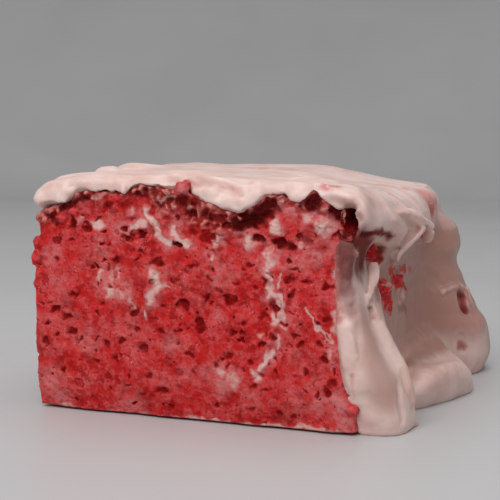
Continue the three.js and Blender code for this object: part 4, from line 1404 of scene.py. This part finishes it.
@dataclass
class FrostingCoat:
    """The frosting over the top, the right side and the back.

    Each zone is named for the form that is shaped there, or for what is done there to the fallen frosting
    at the foot of the right side.
    """

    base_voxel: float = 0.6
    voxel: float = 0.42
    hidden_share: float = 0.04
    back_share: float = 0.35
    most_triangles: int = 190_000
    grain: Grain = Grain(41)
    edge_height: float = 1.9
    unpuffed: Zone = Zone(x=(40.0, 43.0), y=(-24.0, -18.0, 22.0, 16.0), z=(20.0, 15.0))
    unpuffed_corner: Zone = Zone(x=(36.0, 38.0), y=(-27.0, -30.0), z=(11.0, 7.0))
    sunken: Zone = Zone(x=(40.5, 43.0), y=(-30.5, -27.5, 24.0, 15.0), z=(16.0, 10.0))
    curl: Zone = Zone(x=(41.6, 42.8), y=(-20.0, -8.0, 14.0, 6.0), z=(36.0, 39.0, 49.5, 47.5))
    notch: Zone = Zone(x=(34.0, 41.0), y=(24.0, 34.0), z=(40.0, 45.0, 55.0, 51.0))
    lip: Zone = Zone(x=(38.6, 36.5), y=(FRONT + 5.0, FRONT + 1.0), z=(44.0, 46.0, 57.0, 52.5))
    drape: Zone = Zone(x=(34.0, 39.0), y=(-40.0, -34.0, 14.0, 6.0))
    left_end: Zone = Zone(x=(-34.0, -39.5), y=(-20.0, -34.0), z=(46.0, 49.0))
    left_top: Zone = Zone(x=(-37.5, -41.0), z=(52.5, 55.5))
    toe: Zone = Zone(x=(37.0, 38.5, 45.0, 41.0), y=(-33.0, -38.0), z=(13.0, 6.0))
    smoothed: Zone = Zone(x=(43.0, 46.0), y=(-27.0, -23.0, 26.0, 18.0), z=(0.2, 1.0, 14.0, 11.0))
    wall: Zone = Zone(x=(33.0, 36.0), y=(-33.0, -27.0), z=(7.0, 15.0))
    rear: Zone = Zone(y=(32.0, 47.0), z=(52.0, 38.0))

    def __post_init__(self) -> None:
        """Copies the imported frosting."""
        self.clay = Clay.from_node(Node.FROSTING, "frosting_coat")

    def soften(self) -> None:
        """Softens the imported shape, but leaves the fallen frosting as it is."""
        points, normals = self.clay.points, self.clay.normals
        deep = (points[:, 0] > LEFT + 3.0) & (points[:, 1] > FRONT + 3.0) & (points[:, 2] > 1.0)
        pressed = self.facing_crumb(0.5, 0.6) * deep
        self.clay.points = points + 0.9 * pressed[:, None] * normals
        self.clay.remesh(self.base_voxel)
        points = self.clay.points
        hold = fall(points[:, 2], 0.1, 1.2)
        softened = self.clay.relaxed(points, 9)
        softened[:, 2] += hold * (points[:, 2] - softened[:, 2])
        kept = np.maximum(self.unpuffed.share(softened), 0.7 * self.unpuffed_corner.share(softened))
        puffed = self.clay.relaxed(softened, 130, 1.0 - kept)
        puffed[:, 2] += hold * (softened[:, 2] - puffed[:, 2])
        self.clay.points = puffed

    def skin(self) -> None:
        """Adds the strands and makes one even skin, thin where it isn't seen."""
        self.clay.absorb([ribbon.clay() for ribbon in RIBBONS])
        self.clay.remesh(self.voxel)
        points = self.clay.points
        self.clay.points = self.clay.relaxed(points, 3, fall(points[:, 2], 0.1, 1.0))
        x, y, z = self.clay.points.T
        hidden = (self.facing_crumb(0.75, 0.9) > 0.5) & (x > LEFT + 1.5) & (y > FRONT + 1.5)
        resting = (self.clay.normals[:, 2] < -0.9) & (z < 0.4)
        self.clay.thin(hidden | resting, self.hidden_share)
        behind = (self.clay.points[:, 1] > 38.0) & (self.clay.normals[:, 1] > 0.2)
        self.clay.thin(behind, self.back_share)

    def facing_crumb(self, near: float, far: float) -> np.ndarray:
        """Finds the inner skin, which looks at the crumb.

        Args:
            near: The gap to the crumb up to which the share is full.
            far: The gap at which it ends.

        Returns:
            A share from 0 to 1 for each vertex.
        """
        points, normals = self.clay.points, self.clay.normals
        inward = (normals[:, 0] < -0.3) | (normals[:, 2] < -0.3)
        inward |= (normals[:, 1] < -0.3) & (points[:, 1] > HALF_DEPTH - 4.0)
        return fall(self.clay.gap_to(Node.SPONGE), near, far) * inward

    def shape_lip(self) -> None:
        """Lifts the front edge to the torn crust, slopes the drape and rounds the fallen frosting."""
        points = self.clay.points
        x, y = points[:, 0], points[:, 1]
        lowered = 0.45 * fall(y, -22.0, -6.0) + 0.25 * rise(y, 3.0, 13.0)
        points[:, 2] *= 1.0 - lowered * self.sunken.share(points)
        points[:, 1] -= 4.5 * self.curl.share(points)
        points[:, 0] -= 2.8 * self.notch.share(points)
        points[:, 2] += LIP_LIFT.at(x) * self.lip.share(points)
        points = self.squared_lip(points)
        points[:, 0] += DRAPE_BULGE.at(points[:, 2]) * self.drape.share(points)
        self.clay.points = points

    def squared_lip(self, points: np.ndarray) -> np.ndarray:
        """Gives the front lip a thin lower edge, leans it back and draws out its left end.

        Args:
            points: The points of the frosting.

        Returns:
            The points, moved.
        """
        x, y, z = points.T.copy()
        lip = (y < FRONT + 0.6) & (z > 46.0) & (x < 34.0)
        across = np.arange(LEFT - 3.0, 34.0, 0.8)
        lowest = np.array([z[lip & (np.abs(x - place) < 0.6)].min(initial=60.0) for place in across])
        found = lowest < 59.0
        above = z - np.interp(x, across[found], lowest[found])
        kept = fall(x, 29.0, 32.5) * rise(above, -0.3, 0.0) * (z > 46.0)
        low = np.clip(above / self.edge_height, 0.0, 1.0)
        moved = points.copy()
        moved[:, 2] -= self.edge_height * (low - low**2.2) * kept * fall(y, FRONT - 0.7, FRONT + 0.5)
        moved[:, 1] += 1.4 * kept * fall(y, FRONT, FRONT + 6.0) * rise(above, 0.8, 4.0)
        torn = Grain(77).layers(points * np.array([1.0, 0.3, 0.3]), 1.3, 2)
        moved[:, 2] += 0.5 * torn * (1.0 - low) * kept * fall(y, FRONT + 0.4, FRONT + 1.4)
        end = self.left_end.share(points)
        moved[:, 0] -= 2.0 * end
        moved[:, 2] -= 1.6 * end * self.left_top.share(points)
        moved[:, 0] -= 2.4 * self.toe.share(points)
        return moved

    def sweep(self) -> None:
        """Draws the spatula's strokes, the folds of the side and the fine ripples."""
        points, normals = self.clay.points, self.clay.normals
        x, y, z = points.T
        grain = self.grain
        top = rise(z, 44.0, 50.0)
        sagging = 3.2 * grain.swell(points, 24.0) + 1.2 * grain.swell(points, 8.0)
        arc = y + z + 0.22 * x + 0.006 * x**2 + sagging
        drawn = np.stack([x * 0.1, arc, 0.0 * x], axis=1)
        swept = 0.48 * Grain(51).swell(drawn, 3.8) + 0.22 * Grain(52).swell(drawn, 1.7)
        swept *= 0.55 + 0.45 * Grain(53).swell(points, 14.0)
        hanging = np.stack([0.0 * x, y - 0.25 * z + sagging, z * 0.09], axis=1)
        folds = 0.34 * Grain(54).swell(hanging, 4.2) + 0.08 * Grain(55).swell(hanging, 1.9)
        folds *= (0.6 + 0.4 * Grain(56).swell(points, 11.0)) * (0.3 + 0.7 * rise(z, 9.0, 18.0))
        ripple = 0.05 * grain.layers(points, 2.0, 2)
        front_lip = rise(-y, -FRONT - 2.0, -FRONT - 0.5) * rise(z, 44.0, 48.0)
        ragged = 0.42 * front_lip * grain.layers(points * np.array([1.0, 0.4, 1.0]), 2.1, 3)
        ragged += 0.5 * fall(distance_to_path(points, COLUMN), 1.8, 3.4) * grain.layers(points, 1.7, 3)
        outer = rise(self.clay.gap_to(Node.SPONGE), 0.6, 1.6)
        moved = (top * swept + (1.0 - top) * folds + ripple) * outer + ragged
        drifted = Grain(57).drift(points, 0.3, 2.6)
        for stroke in STROKES:
            away = distance_to_path(drifted, stroke.path) / stroke.half_width
            moved += stroke.amount * np.clip(1.0 - away**2, 0.0, 1.0) ** 2
        moved += self.caught_crumb() * (0.2 + 0.5 * Grain(76).layers(points, 1.3, 3))
        inner = self.facing_crumb(0.4, 0.8) * (z > 0.4)
        moved = moved * rise(z, 0.3, 2.5) * (1.0 - inner) + 0.33 * inner
        still = 1.0 - self.smoothed.share(points)
        self.clay.points = self.clay.relaxed(points + normals * moved[:, None], 90, still)

    def caught_crumb(self) -> np.ndarray:
        """Finds the red crumb caught in the frosting, as a share for each vertex."""
        points = self.clay.points
        broken = 0.45 * Grain(75).layers(points, 1.3, 3)
        return dabbed(Grain(72).drift(points, 0.6, 2.2), CAUGHT, 0.6, 1.0, broken)

    def mask_out(self) -> None:
        """Paints the frosting's masks."""
        warped = Grain(61).drift(self.clay.points, 0.8, 3.0, 3)
        shares = {mask: dabbed(warped, dabs, 0.3, 1.3) for mask, dabs in STAINS_AND_SHADE.items()}
        self.clay.paint(Mask.RED, np.maximum(shares[Mask.RED], self.caught_crumb()))
        # Stains of crumb, and painted shade in creases and hollows.
        self.clay.paint(Mask.STAIN, shares[Mask.STAIN])
        near = self.clay.sag(16)
        # Painted shade in the grooves, where the surface sags.
        self.clay.paint(Mask.GROOVE, rise(near, 0.02, 0.25))
        lowered = warped[:, 2] + 5.0 * fall(warped[:, 1], 2.0, 12.0)
        side = np.maximum(self.wall.share(warped) * fall(lowered, 38.0, 52.0), self.rear.share(warped))
        side *= 1.0 - 0.6 * rise(-near, 0.02, 0.2)
        self.clay.paint(Mask.SHADE, np.maximum(side, shares[Mask.SHADE]))

    def build(self) -> None:
        """Builds and dresses the frosting."""
        self.soften()
        self.skin()
        self.shape_lip()
        self.sweep()
        self.mask_out()
        self.clay.limit(self.most_triangles)
        self.clay.finish(Node.FROSTING, Slot.FROSTING, FrostingFinish().material())


@dataclass(frozen=True)
class Lamp:
    """A square studio light that looks at the cake."""

    name: str
    place: Place
    size: float
    power: float
    colour: Colour = (1.0, 1.0, 1.0)

    def add(self, target: Place) -> None:
        """Adds the light.

        Args:
            target: Where it looks.
        """
        data = bpy.data.lights.new(self.name, "AREA")
        data.shape = "SQUARE"
        data.size = self.size
        data.energy = self.power
        data.color = self.colour
        thing = bpy.data.objects.new(self.name, data)
        thing.location = self.place
        thing.rotation_euler = (Vector(target) - Vector(self.place)).to_track_quat("-Z", "Y").to_euler()
        bpy.context.scene.collection.objects.link(thing)


@dataclass(frozen=True)
class Studio:
    """The floor, the lights and the camera."""

    camera_place: Place = (103.9, -293.3, 67.7)
    yaw: float = 19.87
    pitch: float = 5.86
    roll: float = 0.42
    focal_share: float = 2.4
    sensor: float = 36.0
    clip: tuple[float, float] = (0.01, 20.0)
    floor_size: float = 3.2
    floor_parts: int = 120
    wall_from: float = 0.85
    wall_to: float = 1.5
    wall_height: float = 0.5
    world: Colour = (0.32, 0.32, 0.325)
    target: Place = (0.0, 0.0, 0.025)
    lamps: tuple[Lamp, ...] = (
        Lamp("key_above_front", (0.0, -0.62, 0.68), 0.6, 5.1, (1.0, 0.99, 0.98)),
        Lamp("overhead", (0.0, 0.10, 0.90), 0.8, 2.4),
    )

    def add_floor(self) -> None:
        """Adds a floor that rises softly into a low wall all round, far from the cake."""
        bpy.ops.object.select_all(action="DESELECT")
        bpy.ops.mesh.primitive_grid_add(
            x_subdivisions=self.floor_parts, y_subdivisions=self.floor_parts, size=self.floor_size
        )
        floor = bpy.context.object
        floor.name = "studio_floor"
        clay = Clay(floor)
        points = clay.points
        far = np.hypot(points[:, 0], points[:, 1]) * MM
        points[:, 2] = rise(far, self.wall_from, self.wall_to) * self.wall_height / MM
        clay.points = points
        floor.data.materials.append(FloorFinish().material())
        bpy.ops.object.shade_smooth()

    def add_camera(self) -> None:
        """Adds the camera at the photograph's place and angle."""
        yaw, pitch, roll = (math.radians(angle) for angle in (self.yaw, self.pitch, self.roll))
        back = Vector((math.sin(yaw) * math.cos(pitch), -math.cos(yaw) * math.cos(pitch), math.sin(pitch)))
        level = Vector((0.0, 0.0, 1.0)).cross(back).normalized()
        upright = back.cross(level)
        right = math.cos(roll) * level + math.sin(roll) * upright
        up = math.cos(roll) * upright - math.sin(roll) * level
        data = bpy.data.cameras.new("camera")
        data.sensor_width = self.sensor
        data.lens = self.sensor * self.focal_share
        data.clip_start, data.clip_end = self.clip
        camera = bpy.data.objects.new("camera", data)
        turn = Matrix((right, up, back)).transposed().to_4x4()
        camera.matrix_world = Matrix.Translation(Vector(self.camera_place) * MM) @ turn
        bpy.context.scene.collection.objects.link(camera)
        bpy.context.scene.camera = camera

    def build(self) -> None:
        """Builds the studio."""
        self.add_floor()
        for lamp in self.lamps:
            lamp.add(self.target)
        world = bpy.data.worlds.new("studio_world")
        world.use_nodes = True
        world.node_tree.nodes["Background"].inputs["Color"].default_value = (*self.world, 1.0)
        bpy.context.scene.world = world
        bpy.context.scene.view_settings.view_transform = "Standard"
        self.add_camera()
        LOG.info("studio: %d lights", len(self.lamps))


def main() -> None:
    """Builds the studio, the crumb and the frosting."""
    logging.basicConfig(level=logging.INFO, format="%(name)s: %(message)s")
    Studio().build()
    CrumbBlock().build()
    FrostingCoat().build()


if __name__ == "__main__":
    main()
